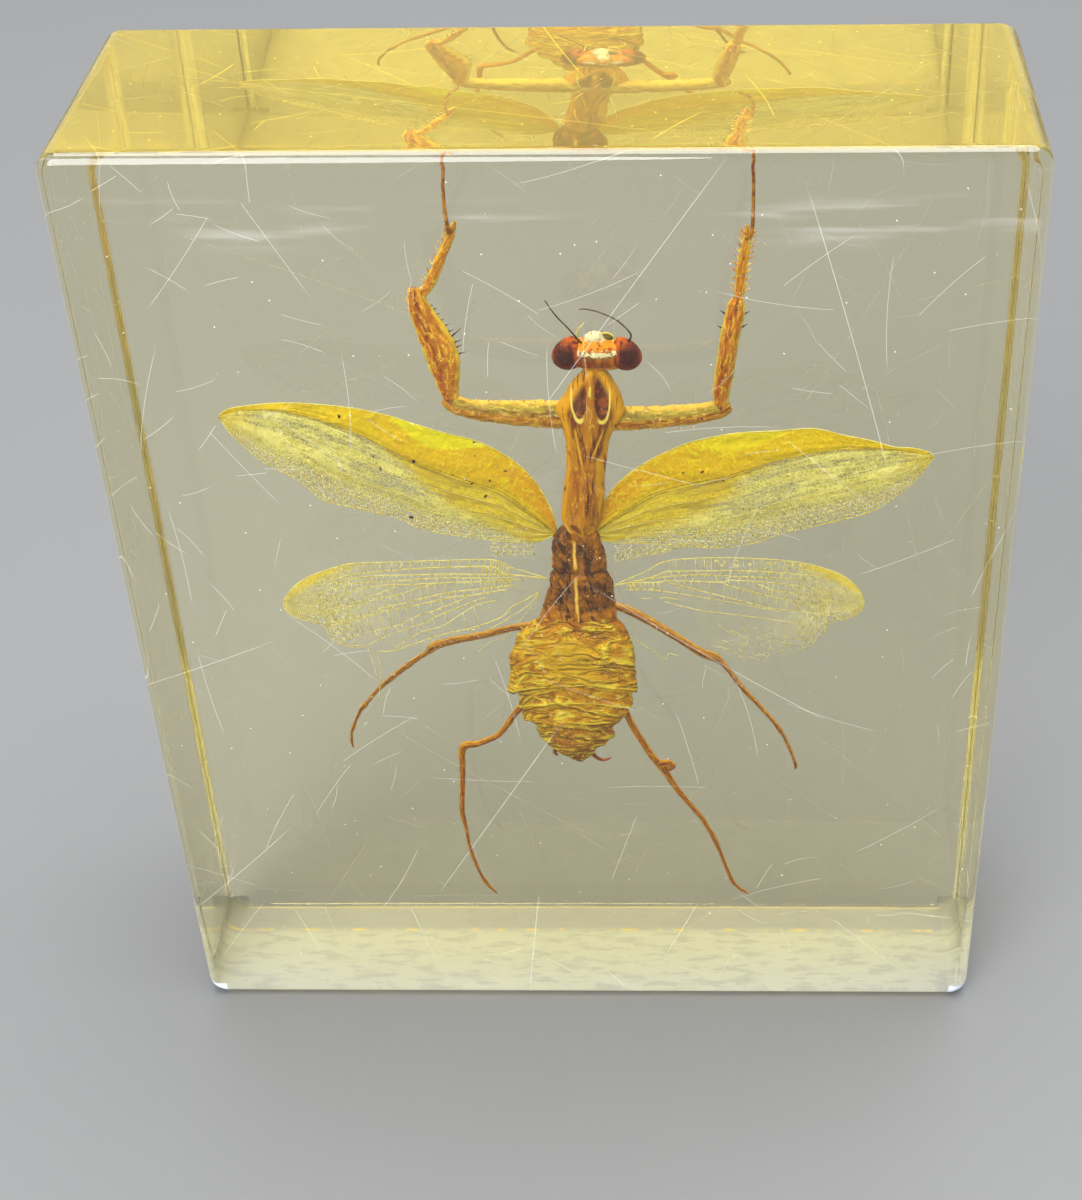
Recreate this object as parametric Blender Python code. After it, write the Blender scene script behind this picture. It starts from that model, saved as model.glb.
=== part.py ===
"""Insect resin paperweight: an upright clear resin block with a spread mantis cast inside.

The block stands on its narrow face. X runs across its width, -Y is its front, Z is up, and
the origin is the middle of its foot. The specimen shows its back to the front face. The resin
is parted in two at the plane of the wings, and each half has the pocket of the specimen.
"""

from math import cos, pi, radians, sin
from typing import NamedTuple

import bmesh
import bpy
from mathutils import Matrix, Vector

MM = 0.001  # the outlines and rings below are in millimetres
SAME_PLACE = 1e-6  # points closer than this, in metres, are one point

# Resin block
BLOCK_WIDTH = 0.100
BLOCK_DEPTH = 0.032
BLOCK_HEIGHT = 0.120
CORNER_RADIUS = 0.0024  # the four corners seen from the front
FRONT_EDGE_RADIUS = 0.0010
BACK_EDGE_RADIUS = 0.0020
ROUNDING_STEPS = 3

# Parting plane and pocket
PARTING_Y = 0.0045
PARTING_GAP = 0.0003
POCKET_GAP = 0.0004  # free space between the specimen and its pocket
FEMUR_SPARE = 0.0011  # more room beside a femur, for its spines
COXA_SPARE = 0.0006
TIBIA_SPARE = 0.0004

# Depth in the block of each part of the specimen, towards the back
HEAD_Y = 0.0037
PRONOTUM_Y = 0.0038
BODY_Y = 0.0042
WING_Y = 0.0043
LIMB_Y = 0.0046

# Wings
WING_THICKNESS = 0.0003
VEIN_RADIUS = 0.00034
VEIN_SIDES = 4
VEIN_TAPER = 0.35  # the share of its radius that a vein loses on its way to the tip

# Limbs
SPINE_RADIUS = 0.00014
TOOTH_RADIUS = 0.00012


class Fit(NamedTuple):
    """How forms are made: their swelling in metres, and their numbers of sides."""

    grow: float
    body_sides: int
    limb_sides: int
    tube_sides: int
    lump_segments: int
    lump_rings: int
    curve_steps: int

    def outset(self, sides: int) -> float:
        """Widen a pocket's polygon until its flats clear the round form inside it."""
        return 1 / cos(pi / sides) if self.grow else 1.0


SPECIMEN = Fit(0.0, 12, 8, 6, 10, 8, 2)
POCKET = Fit(POCKET_GAP, 8, 6, 4, 8, 6, 2)


class Level(NamedTuple):
    """A cross-section of the body: its height, its two edges and its depth, in mm."""

    z: float
    left: float
    right: float
    deep: float


class Joint(NamedTuple):
    """A cross-section of a limb: its centre, half width and half depth, in mm."""

    x: float
    z: float
    across: float
    deep: float


class Knot(NamedTuple):
    """A point of a thin round limb: its place and radius, in mm."""

    x: float
    y: float
    z: float
    radius: float


PRONOTUM = [
    Level(88.5, 1.9, 4.4, 1.0), Level(87.6, 1.2, 5.0, 1.5), Level(86.4, 0.4, 5.7, 1.8),
    Level(83.6, -1.2, 6.4, 2.0), Level(82.6, -1.1, 6.4, 2.1), Level(81.0, -0.6, 5.4, 1.9),
    Level(79.4, -0.4, 4.7, 1.8), Level(76.3, -0.3, 4.3, 1.8), Level(72.4, -0.8, 4.0, 1.9),
    Level(69.0, -1.2, 3.4, 1.9), Level(67.3, -0.4, 2.7, 1.4), Level(66.5, 0.5, 2.0, 0.8),
]
THORAX = [
    Level(68.0, -0.9, 2.6, 1.4), Level(66.2, -2.1, 3.4, 1.9), Level(63.9, -2.2, 4.1, 2.1),
    Level(61.7, -2.1, 4.3, 2.2), Level(60.5, -2.7, 4.3, 2.3), Level(58.5, -3.0, 4.9, 2.4),
    Level(56.1, -3.5, 4.9, 2.4), Level(53.5, -4.5, 5.2, 2.3),
]
ABDOMEN = [
    Level(55.6, -3.2, 4.5, 2.2), Level(52.4, -6.6, 6.5, 2.5), Level(48.2, -8.3, 7.3, 2.6),
    Level(44.9, -8.3, 7.2, 2.5), Level(43.0, -8.1, 7.0, 2.4), Level(40.9, -7.4, 6.4, 2.2),
    Level(38.2, -6.7, 5.2, 1.9), Level(35.8, -5.0, 4.1, 1.5), Level(33.6, -3.3, 2.2, 1.0),
]
ABDOMEN_TIP = Level(31.7, -0.4, 0.5, 0.4)
LEDGE_DROP = 0.3  # each ring of the abdomen ends in a ledge this far below it, in mm
LEDGE_INSET = 0.93

LEFT_COXA = [
    Joint(1.5, 82.6, 1.5, 1.2), Joint(-0.8, 82.7, 1.9, 1.3), Joint(-6.7, 83.0, 1.6, 1.2),
    Joint(-10.4, 83.4, 1.3, 1.1), Joint(-12.3, 84.1, 1.2, 1.0), Joint(-13.3, 84.9, 0.7, 0.7),
]
RIGHT_COXA = [
    Joint(3.7, 82.1, 1.4, 1.2), Joint(6.3, 82.1, 1.6, 1.3), Joint(11.0, 82.3, 1.5, 1.2),
    Joint(15.4, 82.8, 1.3, 1.1), Joint(17.6, 83.3, 1.2, 1.0), Joint(18.7, 83.8, 0.6, 0.7),
]
LEFT_FEMUR = [
    Joint(-12.2, 83.6, 0.8, 0.7), Joint(-12.6, 85.4, 1.0, 0.9), Joint(-12.9, 87.8, 1.6, 1.0),
    Joint(-13.1, 90.2, 2.0, 1.1), Joint(-13.8, 92.6, 1.9, 1.0), Joint(-14.8, 95.2, 1.5, 0.9),
    Joint(-15.4, 97.2, 1.2, 0.8), Joint(-15.4, 98.6, 0.8, 0.6),
]
RIGHT_FEMUR = [
    Joint(17.8, 83.0, 0.7, 0.9), Joint(17.6, 84.9, 0.9, 1.3), Joint(17.9, 87.6, 1.1, 1.7),
    Joint(18.3, 90.6, 1.1, 2.0), Joint(18.6, 92.8, 1.1, 1.8), Joint(19.0, 94.8, 1.1, 1.4),
    Joint(19.2, 96.2, 1.0, 1.1), Joint(19.4, 97.2, 0.6, 0.7),
]
LEFT_TIBIA = [
    Joint(-15.2, 97.6, 0.5, 0.5), Joint(-13.9, 98.9, 0.6, 0.5), Joint(-12.6, 101.6, 0.55, 0.5),
    Joint(-11.4, 104.1, 0.5, 0.45), Joint(-10.9, 105.5, 0.4, 0.4), Joint(-10.5, 106.4, 0.2, 0.2),
]
RIGHT_TIBIA = [
    Joint(19.3, 96.2, 0.5, 0.5), Joint(19.6, 98.0, 0.55, 0.5), Joint(19.8, 100.8, 0.6, 0.5),
    Joint(20.2, 103.4, 0.5, 0.45), Joint(20.4, 104.9, 0.35, 0.4), Joint(20.3, 105.9, 0.2, 0.2),
]
# The spines of the gripping legs: root on the limb's edge, and tip, as (x, z)
SPINES = {
    "left_femur_spines": [
        ((-14.3, 96.6), (-13.5, 96.8)), ((-13.7, 95.4), (-12.9, 95.9)),
        ((-13.2, 94.6), (-12.4, 95.1)), ((-12.7, 93.8), (-11.8, 94.5)),
        ((-12.1, 92.7), (-10.7, 93.8)), ((-11.7, 91.8), (-10.8, 92.4)),
        ((-11.5, 90.9), (-10.4, 91.5)),
    ],
    "right_femur_spines": [
        ((17.9, 95.4), (17.3, 95.9)), ((17.6, 93.6), (17.0, 94.0)),
        ((20.0, 95.2), (20.7, 95.6)), ((19.8, 93.6), (20.5, 94.1)),
    ],
    "left_coxa_spines": [((x, 84.3), (x - 0.2, 85.1)) for x in (-9.0, -7.4, -5.8, -4.2, -2.6)],
    "right_coxa_spines": [((x, 83.4), (x - 0.2, 84.3)) for x in (8.5, 10.3, 12.1, 13.9)],
}
TIBIA_TEETH = 9
TOOTH_LENGTH = 0.00045
TOOTH_ROOT = 0.85  # where a tooth starts, as a share of the tibia's half width
TOOTH_LEAN = 0.7  # how far a tooth leans towards the tibia's tip
SPINE_SINK = 0.3  # the share of a spine's length that is sunk into its limb
SPINE_TIP = 0.2  # a spine's tip, as a share of its root's radius

LEFT_TARSUS = [
    Knot(-11.2, 4.2, 105.2, 0.26), Knot(-11.2, 2.6, 106.6, 0.24), Knot(-11.3, 2.0, 109.5, 0.22),
    Knot(-11.1, 1.7, 112.8, 0.22), Knot(-10.5, 1.6, 115.2, 0.22), Knot(-9.6, 1.9, 117.0, 0.20),
]
RIGHT_TARSUS = [
    Knot(20.3, 4.2, 104.4, 0.26), Knot(20.8, 2.6, 105.6, 0.24), Knot(20.9, 1.5, 109.3, 0.22),
    Knot(20.8, 0.5, 113.4, 0.22), Knot(20.2, 0.1, 115.8, 0.22), Knot(18.9, 0.0, 117.3, 0.20),
]
LEFT_MID_LEG = [
    Knot(-4.0, 4.4, 53.4, 0.55), Knot(-9.8, 4.6, 52.0, 0.50), Knot(-15.2, 4.6, 50.5, 0.48),
    Knot(-17.3, 4.6, 49.8, 0.55), Knot(-18.2, 4.6, 49.0, 0.40), Knot(-20.6, 4.6, 47.2, 0.36),
    Knot(-24.5, 4.6, 43.6, 0.30), Knot(-26.7, 4.6, 40.8, 0.32), Knot(-28.3, 4.6, 37.7, 0.24),
    Knot(-29.0, 4.6, 35.2, 0.22), Knot(-28.8, 4.6, 33.8, 0.20),
]
RIGHT_MID_LEG = [
    Knot(3.5, 4.4, 56.6, 0.60), Knot(8.8, 4.6, 53.9, 0.58), Knot(13.4, 4.6, 50.4, 0.50),
    Knot(16.6, 4.6, 48.2, 0.60), Knot(17.6, 4.6, 47.5, 0.42), Knot(20.2, 4.6, 43.6, 0.34),
    Knot(24.5, 4.6, 37.7, 0.28), Knot(26.1, 4.6, 34.3, 0.26), Knot(27.2, 4.6, 30.3, 0.22),
]
LEFT_HIND_LEG = [
    Knot(-5.0, 4.4, 43.4, 0.50), Knot(-7.9, 4.6, 39.5, 0.46), Knot(-10.3, 4.6, 35.8, 0.42),
    Knot(-13.1, 4.6, 34.1, 0.44), Knot(-14.8, 4.6, 33.9, 0.52), Knot(-15.1, 4.6, 32.4, 0.42),
    Knot(-15.4, 4.6, 26.2, 0.40), Knot(-15.7, 4.6, 22.9, 0.34), Knot(-15.5, 4.6, 20.0, 0.26),
    Knot(-14.9, 4.6, 14.8, 0.24), Knot(-13.7, 4.6, 10.7, 0.24), Knot(-12.2, 4.6, 8.4, 0.20),
]
RIGHT_HIND_LEG = [
    Knot(4.6, 4.4, 43.2, 0.48), Knot(6.8, 4.6, 36.9, 0.46), Knot(9.2, 4.6, 31.9, 0.46),
    Knot(10.2, 4.6, 30.6, 0.55), Knot(12.0, 4.6, 27.0, 0.42), Knot(15.1, 4.6, 22.1, 0.34),
    Knot(16.9, 4.6, 18.1, 0.30), Knot(18.4, 4.6, 13.2, 0.24), Knot(19.3, 4.6, 10.4, 0.24),
    Knot(21.5, 4.6, 8.4, 0.20),
]
LEFT_ANTENNA = [
    Knot(2.6, 3.4, 91.0, 0.24), Knot(1.5, 2.4, 93.0, 0.18), Knot(0.3, 2.2, 94.9, 0.15),
    Knot(-1.6, 2.2, 97.7, 0.14),
]
RIGHT_ANTENNA = [
    Knot(6.0, 3.4, 91.0, 0.24), Knot(7.2, 2.5, 93.4, 0.18), Knot(6.6, 2.2, 94.8, 0.15),
    Knot(5.3, 2.2, 95.8, 0.15), Knot(3.8, 2.3, 96.4, 0.14), Knot(1.9, 2.4, 96.5, 0.14),
]
LEFT_CERCUS = [Knot(-2.4, 4.3, 34.4, 0.34), Knot(-3.3, 4.4, 33.0, 0.28), Knot(-3.0, 4.5, 32.1, 0.20)]
RIGHT_CERCUS = [
    Knot(0.9, 4.3, 33.9, 0.34), Knot(1.8, 4.4, 32.4, 0.26), Knot(2.6, 4.5, 31.7, 0.24),
    Knot(3.7, 4.5, 32.1, 0.20),
]
THIN_LIMBS = {
    "left_tarsus": LEFT_TARSUS, "right_tarsus": RIGHT_TARSUS,
    "left_mid_leg": LEFT_MID_LEG, "right_mid_leg": RIGHT_MID_LEG,
    "left_hind_leg": LEFT_HIND_LEG, "right_hind_leg": RIGHT_HIND_LEG,
    "left_antenna": LEFT_ANTENNA, "right_antenna": RIGHT_ANTENNA,
    "left_cercus": LEFT_CERCUS, "right_cercus": RIGHT_CERCUS,
}

# Wing outlines as (x, z), root first, out along the leading edge and back along the rear
WINGS = {
    "left_forewing": [
        (-0.6, 66.4), (-1.9, 69.2), (-5.2, 75.8), (-11.5, 79.7), (-20.5, 82.9), (-31.0, 84.4),
        (-37.4, 83.9), (-39.0, 82.5), (-36.4, 78.6), (-31.5, 74.2), (-26.0, 70.8),
        (-18.5, 68.0), (-10.2, 66.0), (-4.0, 65.3),
    ],
    "right_forewing": [
        (2.0, 66.4), (4.1, 71.1), (7.5, 75.2), (12.8, 78.4), (18.5, 80.1), (26.0, 80.8),
        (33.0, 79.6), (39.5, 78.2), (41.8, 77.0), (39.5, 73.5), (34.5, 69.6), (27.0, 67.2),
        (19.5, 64.9), (12.0, 64.7), (5.2, 65.2),
    ],
    "left_hindwing": [
        (-1.0, 59.6), (-6.5, 61.4), (-11.0, 62.7), (-20.5, 62.5), (-28.0, 61.5), (-33.0, 59.0),
        (-34.8, 56.5), (-33.0, 54.2), (-30.3, 52.8), (-28.4, 50.4), (-24.5, 49.4),
        (-18.2, 50.2), (-11.5, 52.8), (-4.5, 56.5),
    ],
    "right_hindwing": [
        (3.0, 58.9), (8.3, 61.1), (12.2, 62.7), (20.0, 63.0), (27.0, 62.2), (32.0, 60.2),
        (34.7, 56.8), (33.5, 54.4), (30.5, 53.0), (27.0, 49.8), (20.5, 48.2), (15.0, 50.5),
        (9.5, 54.5), (4.5, 57.0),
    ],
}
# The main veins stand proud of both faces of a wing, as (x, z)
VEINS = [
    [(-2.0, 66.9), (-7.4, 72.0), (-10.7, 73.7), (-17.5, 76.7), (-24.0, 80.6), (-35.6, 83.4)],
    [(-2.4, 66.4), (-12.0, 69.5), (-22.0, 72.5), (-32.0, 77.5)],
    [(3.0, 66.8), (10.3, 72.3), (18.0, 74.5), (24.8, 76.8), (30.5, 78.0), (37.6, 78.0)],
    [(3.2, 66.3), (12.0, 68.6), (22.0, 70.6), (33.0, 73.5)],
    [(-2.4, 59.7), (-9.0, 61.2), (-18.0, 61.0), (-28.0, 59.3), (-33.0, 56.8)],
    [(-2.8, 59.3), (-12.0, 58.6), (-22.0, 56.2), (-31.0, 54.0)],
    [(-3.0, 59.0), (-12.0, 56.6), (-20.0, 52.6), (-26.0, 50.4)],
    [(4.0, 59.1), (9.5, 61.3), (18.0, 61.8), (26.0, 61.0), (33.0, 58.2)],
    [(4.2, 58.7), (12.0, 59.6), (22.0, 58.4), (33.0, 56.0)],
    [(4.4, 58.4), (12.0, 57.4), (22.0, 55.2), (30.0, 53.7)],
]

# Rounded lumps of the head: centre and half sizes, in mm
HEAD_LUMPS = {
    "head_capsule": ((3.7, 90.2), (3.6, 1.7, 1.9), 0.0),
    "left_eye": ((0.3, 90.5), (1.5, 1.5, 2.1), -0.3),
    "right_eye": ((7.1, 90.4), (1.5, 1.5, 2.0), -0.3),
    "brow": ((4.1, 92.0), (1.7, 1.3, 1.3), -0.1),
    "mouth": ((3.9, 91.2), (1.1, 1.1, 1.5), 1.3),
    "neck": ((3.2, 88.2), (1.4, 1.2, 1.6), 0.2),
}

RESIN_COLOUR = (0.93, 0.86, 0.55, 0.35)
MANTIS_COLOUR = (0.62, 0.33, 0.04, 1.0)


def clear_scene() -> None:
    """Remove what a new file holds."""
    for item in list(bpy.data.objects):
        bpy.data.objects.remove(item, do_unlink=True)


def new_collection(name: str) -> bpy.types.Collection:
    """Make a collection in the scene."""
    collection = bpy.data.collections.new(name)
    bpy.context.scene.collection.children.link(collection)
    return collection


def material(name: str, colour: tuple, roughness: float, transmission: float = 0.0):
    """Make a plain Principled material."""
    made = bpy.data.materials.new(name)
    made.use_nodes = True
    shader = made.node_tree.nodes["Principled BSDF"]
    shader.inputs["Base Color"].default_value = colour
    shader.inputs["Roughness"].default_value = roughness
    shader.inputs["Metallic"].default_value = 0.0
    shader.inputs["Transmission Weight"].default_value = transmission
    return made


def add_object(name: str, mesh: bpy.types.Mesh, collection, hidden: bool = True):
    """Put a mesh in the scene, as a guide that isn't rendered unless told otherwise."""
    item = bpy.data.objects.new(name, mesh)
    collection.objects.link(item)
    if hidden:
        item.hide_render = True
        item.display_type = "WIRE"
    return item


def mesh_from(name: str, bm: bmesh.types.BMesh) -> bpy.types.Mesh:
    """Finish a bmesh with its faces pointing out."""
    bmesh.ops.recalc_face_normals(bm, faces=bm.faces)
    mesh = bpy.data.meshes.new(name)
    bm.to_mesh(mesh)
    bm.free()
    return mesh


def bridge_rings(bm: bmesh.types.BMesh, rings: list) -> None:
    """Skin a row of vertex rings, and close both ends."""
    count = len(rings[0])
    for lower, upper in zip(rings, rings[1:]):
        for i in range(count):
            j = (i + 1) % count
            bm.faces.new((lower[i], lower[j], upper[j], upper[i]))
    bm.faces.new(reversed(rings[0]))
    bm.faces.new(rings[-1])


def oval(centre: Vector, across: Vector, deep: Vector, sides: int) -> list:
    """Work out the points of an oval from its two half axes."""
    turns = [2 * pi * (i + 0.5) / sides for i in range(sides)]
    return [centre + across * cos(turn) + deep * sin(turn) for turn in turns]


def loft(name: str, ovals: list) -> bpy.types.Mesh:
    """Make a closed skin through a row of ovals."""
    bm = bmesh.new()
    bridge_rings(bm, [[bm.verts.new(point) for point in points] for points in ovals])
    return mesh_from(name, bm)


def body_mesh(name: str, levels: list, y: float, fit: Fit) -> bpy.types.Mesh:
    """Loft a stretch of the body from its levels."""
    ovals = []
    ends = {0: fit.grow, len(levels) - 1: -fit.grow}
    outset = fit.outset(fit.body_sides)
    for i, level in enumerate(levels):
        middle = (level.left + level.right) / 2 * MM
        half = ((level.right - level.left) / 2 * MM + fit.grow) * outset
        deep = (level.deep * MM + fit.grow) * outset
        centre = Vector((middle, y, level.z * MM + ends.get(i, 0.0)))
        ovals.append(oval(centre, Vector((half, 0, 0)), Vector((0, deep, 0)), fit.body_sides))
    return loft(name, ovals)


def limb_mesh(name: str, joints: list, sides: int, fit: Fit, spare: float = 0.0):
    """Loft a flattened limb square to its path, with spare room in its plane for its spines."""
    centres = [Vector((joint.x * MM, LIMB_Y, joint.z * MM)) for joint in joints]
    ends = {0: -fit.grow, len(joints) - 1: fit.grow}
    room = spare if fit.grow else 0.0
    outset = fit.outset(sides)
    ovals = []
    for i, joint in enumerate(joints):
        before = centres[max(i - 1, 0)]
        after = centres[min(i + 1, len(joints) - 1)]
        along = (after - before).normalized()
        across = along.cross(Vector((0, 1, 0))).normalized()
        half = (joint.across * MM + fit.grow) * outset + room
        deep = (joint.deep * MM + fit.grow) * outset
        ovals.append(oval(centres[i] + along * ends.get(i, 0.0), across * half,
                          Vector((0, deep, 0)), sides))
    return loft(name, ovals)


def ledged(levels: list) -> list:
    """Follow each level of the abdomen by the ledge where the next ring tucks in."""
    rings = []
    for level in levels:
        middle = (level.left + level.right) / 2
        half = (level.right - level.left) / 2 * LEDGE_INSET
        rings.append(level)
        rings.append(Level(level.z - LEDGE_DROP, middle - half, middle + half,
                           level.deep * LEDGE_INSET))
    return rings + [ABDOMEN_TIP]


def curve_mesh(name: str, data: bpy.types.Curve, turn: Matrix = Matrix()) -> bpy.types.Mesh:
    """Turn a curve into a welded closed mesh."""
    item = bpy.data.objects.new(name + "_curve", data)
    bpy.context.scene.collection.objects.link(item)
    depsgraph = bpy.context.evaluated_depsgraph_get()
    mesh = bpy.data.meshes.new_from_object(item.evaluated_get(depsgraph))
    bpy.data.objects.remove(item, do_unlink=True)
    bm = bmesh.new()
    bm.from_mesh(mesh)
    bm.transform(turn)
    bmesh.ops.remove_doubles(bm, verts=bm.verts, dist=SAME_PLACE)
    bm.to_mesh(mesh)
    bm.free()
    return mesh


def tube_mesh(name: str, knots: list, sides: int, fit: Fit) -> bpy.types.Mesh:
    """Make a thin limb as a tapering tube through its knots."""
    data = bpy.data.curves.new(name, "CURVE")
    data.dimensions = "3D"
    data.bevel_depth = MM
    data.bevel_resolution = (sides - 4) // 2
    data.use_fill_caps = True
    spline = data.splines.new("POLY")
    spline.points.add(len(knots) - 1)
    for point, knot in zip(spline.points, knots):
        point.co = (knot.x * MM, knot.y * MM, knot.z * MM, 1)
        point.radius = (knot.radius + fit.grow / MM) * fit.outset(sides)
    return curve_mesh(name, data)


def plate_mesh(name: str, outline: list, fit: Fit) -> bpy.types.Mesh:
    """Make a wing as a flat plate with a smooth outline."""
    data = bpy.data.curves.new(name, "CURVE")
    data.dimensions = "2D"
    data.fill_mode = "BOTH"
    data.extrude = WING_THICKNESS / 2 + fit.grow
    data.resolution_u = fit.curve_steps
    data.offset = fit.grow
    spline = data.splines.new("BEZIER")
    spline.bezier_points.add(len(outline) - 1)
    spline.use_cyclic_u = True
    for point, (x, z) in zip(spline.bezier_points, outline):
        point.co = (x * MM, z * MM, 0)
        point.handle_left_type = "AUTO"
        point.handle_right_type = "AUTO"
    upright = Matrix.Translation((0, WING_Y, 0)) @ Matrix.Rotation(radians(90), 4, "X")
    return curve_mesh(name, data, upright)


def vein_knots(line: list) -> list:
    """Give a vein its radius, which tapers along it."""
    last = len(line) - 1
    radius = VEIN_RADIUS / MM
    return [Knot(x, WING_Y / MM, z, radius * (1 - VEIN_TAPER * i / last))
            for i, (x, z) in enumerate(line)]


def lump_mesh(name: str, centre: tuple, half: tuple, forward: float, fit: Fit):
    """Make one rounded lump of the head."""
    bm = bmesh.new()
    bmesh.ops.create_uvsphere(bm, u_segments=fit.lump_segments, v_segments=fit.lump_rings, radius=1)
    outset = fit.outset(fit.lump_rings)
    sizes = Matrix.Diagonal([(value * MM + fit.grow) * outset for value in half]).to_4x4()
    place = Matrix.Translation((centre[0] * MM, HEAD_Y + forward * MM, centre[1] * MM))
    bm.transform(place @ sizes)
    return mesh_from(name, bm)


def add_spine(bm: bmesh.types.BMesh, root: Vector, tip: Vector, radius: float) -> None:
    """Add a four-sided spine to a bmesh, its root sunk into the limb."""
    along = tip - root
    turn = along.to_track_quat("Z", "Y").to_matrix().to_4x4()
    place = Matrix.Translation(root + along * (1 - SPINE_SINK) / 2)
    bmesh.ops.create_cone(bm, cap_ends=True, segments=4, radius1=radius, radius2=radius * SPINE_TIP,
                          depth=along.length * (1 + SPINE_SINK), matrix=place @ turn)


def spines_mesh(name: str, pairs: list) -> bpy.types.Mesh:
    """Make a row of spines from their roots and tips."""
    bm = bmesh.new()
    for (root_x, root_z), (tip_x, tip_z) in pairs:
        root = Vector((root_x * MM, LIMB_Y, root_z * MM))
        add_spine(bm, root, Vector((tip_x * MM, LIMB_Y, tip_z * MM)), SPINE_RADIUS)
    return mesh_from(name, bm)


def teeth_mesh(name: str, joints: list, sides: tuple) -> bpy.types.Mesh:
    """Make the comb of teeth along the straight stretch of a tibia."""
    bm = bmesh.new()
    start, end = joints[1], joints[4]
    along = Vector((end.x - start.x, 0, end.z - start.z)).normalized()
    across = along.cross(Vector((0, 1, 0)))
    for side in sides:
        for i in range(TIBIA_TEETH):
            share = (i + 0.5) / TIBIA_TEETH
            half = start.across + (end.across - start.across) * share
            middle = Vector((start.x + (end.x - start.x) * share, LIMB_Y / MM,
                             start.z + (end.z - start.z) * share))
            root = (middle + across * side * half * TOOTH_ROOT) * MM
            lean = across * side + along * TOOTH_LEAN
            add_spine(bm, root, root + lean * TOOTH_LENGTH, TOOTH_RADIUS)
    return mesh_from(name, bm)


def specimen_meshes(fit: Fit) -> dict:
    """Make the forms of the specimen, at their own size or swollen to shape the pocket."""
    abdomen = ABDOMEN + [ABDOMEN_TIP] if fit.grow else ledged(ABDOMEN)
    made = {
        "pronotum": body_mesh("pronotum", PRONOTUM, PRONOTUM_Y, fit),
        "thorax": body_mesh("thorax", THORAX, BODY_Y, fit),
        "abdomen": body_mesh("abdomen", abdomen, BODY_Y, fit),
        "left_coxa": limb_mesh("left_coxa", LEFT_COXA, fit.limb_sides, fit, COXA_SPARE),
        "right_coxa": limb_mesh("right_coxa", RIGHT_COXA, fit.limb_sides, fit, COXA_SPARE),
        "left_femur": limb_mesh("left_femur", LEFT_FEMUR, fit.limb_sides, fit, FEMUR_SPARE),
        "right_femur": limb_mesh("right_femur", RIGHT_FEMUR, fit.limb_sides, fit, FEMUR_SPARE),
        "left_tibia": limb_mesh("left_tibia", LEFT_TIBIA, fit.tube_sides, fit, TIBIA_SPARE),
        "right_tibia": limb_mesh("right_tibia", RIGHT_TIBIA, fit.tube_sides, fit, TIBIA_SPARE),
    }
    for name, knots in THIN_LIMBS.items():
        made[name] = tube_mesh(name, knots, fit.tube_sides, fit)
    for name, outline in WINGS.items():
        made[name] = plate_mesh(name, outline, fit)
    for name, (centre, half, forward) in HEAD_LUMPS.items():
        made[name] = lump_mesh(name, centre, half, forward, fit)
    return made


def small_forms() -> dict:
    """Make the veins, spines and teeth that only the specimen itself has."""
    made = {}
    for i, line in enumerate(VEINS):
        made[f"vein_{i}"] = tube_mesh(f"vein_{i}", vein_knots(line), VEIN_SIDES, SPECIMEN)
    for name, pairs in SPINES.items():
        made[name] = spines_mesh(name, pairs)
    made["left_tibia_teeth"] = teeth_mesh("left_tibia_teeth", LEFT_TIBIA, (1,))
    made["right_tibia_teeth"] = teeth_mesh("right_tibia_teeth", RIGHT_TIBIA, (-1, 1))
    return made


def combine(item, operation: str, collection) -> None:
    """Join or cut an object with everything in a collection."""
    boolean = item.modifiers.new(operation.title(), "BOOLEAN")
    boolean.operation = operation
    boolean.solver = "EXACT"
    boolean.operand_type = "COLLECTION"
    boolean.collection = collection


def block_half(name: str, y_outer: float, y_parting: float, edge_radius: float, part):
    """Make one half of the resin block, rounded everywhere but at the parting plane."""
    bm = bmesh.new()
    bmesh.ops.create_cube(bm, size=1)
    depth = abs(y_outer - y_parting)
    sizes = Matrix.Diagonal((BLOCK_WIDTH, depth, BLOCK_HEIGHT)).to_4x4()
    place = Matrix.Translation((0, (y_outer + y_parting) / 2, BLOCK_HEIGHT / 2))
    bm.transform(place @ sizes)
    corners = [edge for edge in bm.edges
               if abs(edge.verts[0].co.y - edge.verts[1].co.y) > depth / 2]
    bmesh.ops.bevel(bm, geom=corners, offset=CORNER_RADIUS, segments=ROUNDING_STEPS,
                    profile=0.5, affect="EDGES")
    rim = [edge for edge in bm.edges
           if all(abs(vert.co.y - y_outer) < SAME_PLACE for vert in edge.verts)]
    bmesh.ops.bevel(bm, geom=rim, offset=edge_radius, segments=ROUNDING_STEPS,
                    profile=0.5, affect="EDGES")
    return add_object(name, mesh_from(name, bm), part, hidden=False)


def build() -> None:
    """Build the paperweight."""
    clear_scene()
    part = new_collection("insect_resin_paperweight")
    forms = new_collection("specimen_forms")
    pockets = new_collection("pocket_cutters")

    meshes = specimen_meshes(SPECIMEN) | small_forms()
    mantis = add_object("mantis", meshes.pop("pronotum"), part, hidden=False)
    for name, mesh in meshes.items():
        add_object(name, mesh, forms)
    combine(mantis, "UNION", forms)
    mantis.data.materials.append(material("dry_insect", MANTIS_COLOUR, 0.45))

    for name, mesh in specimen_meshes(POCKET).items():
        add_object(name + "_pocket", mesh, pockets)
    resin = material("clear_resin", RESIN_COLOUR, 0.06, transmission=1.0)
    for name, side, radius in (("resin_front", -1, FRONT_EDGE_RADIUS),
                               ("resin_back", 1, BACK_EDGE_RADIUS)):
        half = block_half(name, side * BLOCK_DEPTH / 2, PARTING_Y + side * PARTING_GAP / 2,
                          radius, part)
        combine(half, "DIFFERENCE", pockets)
        half.data.materials.append(resin)


build()
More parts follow.
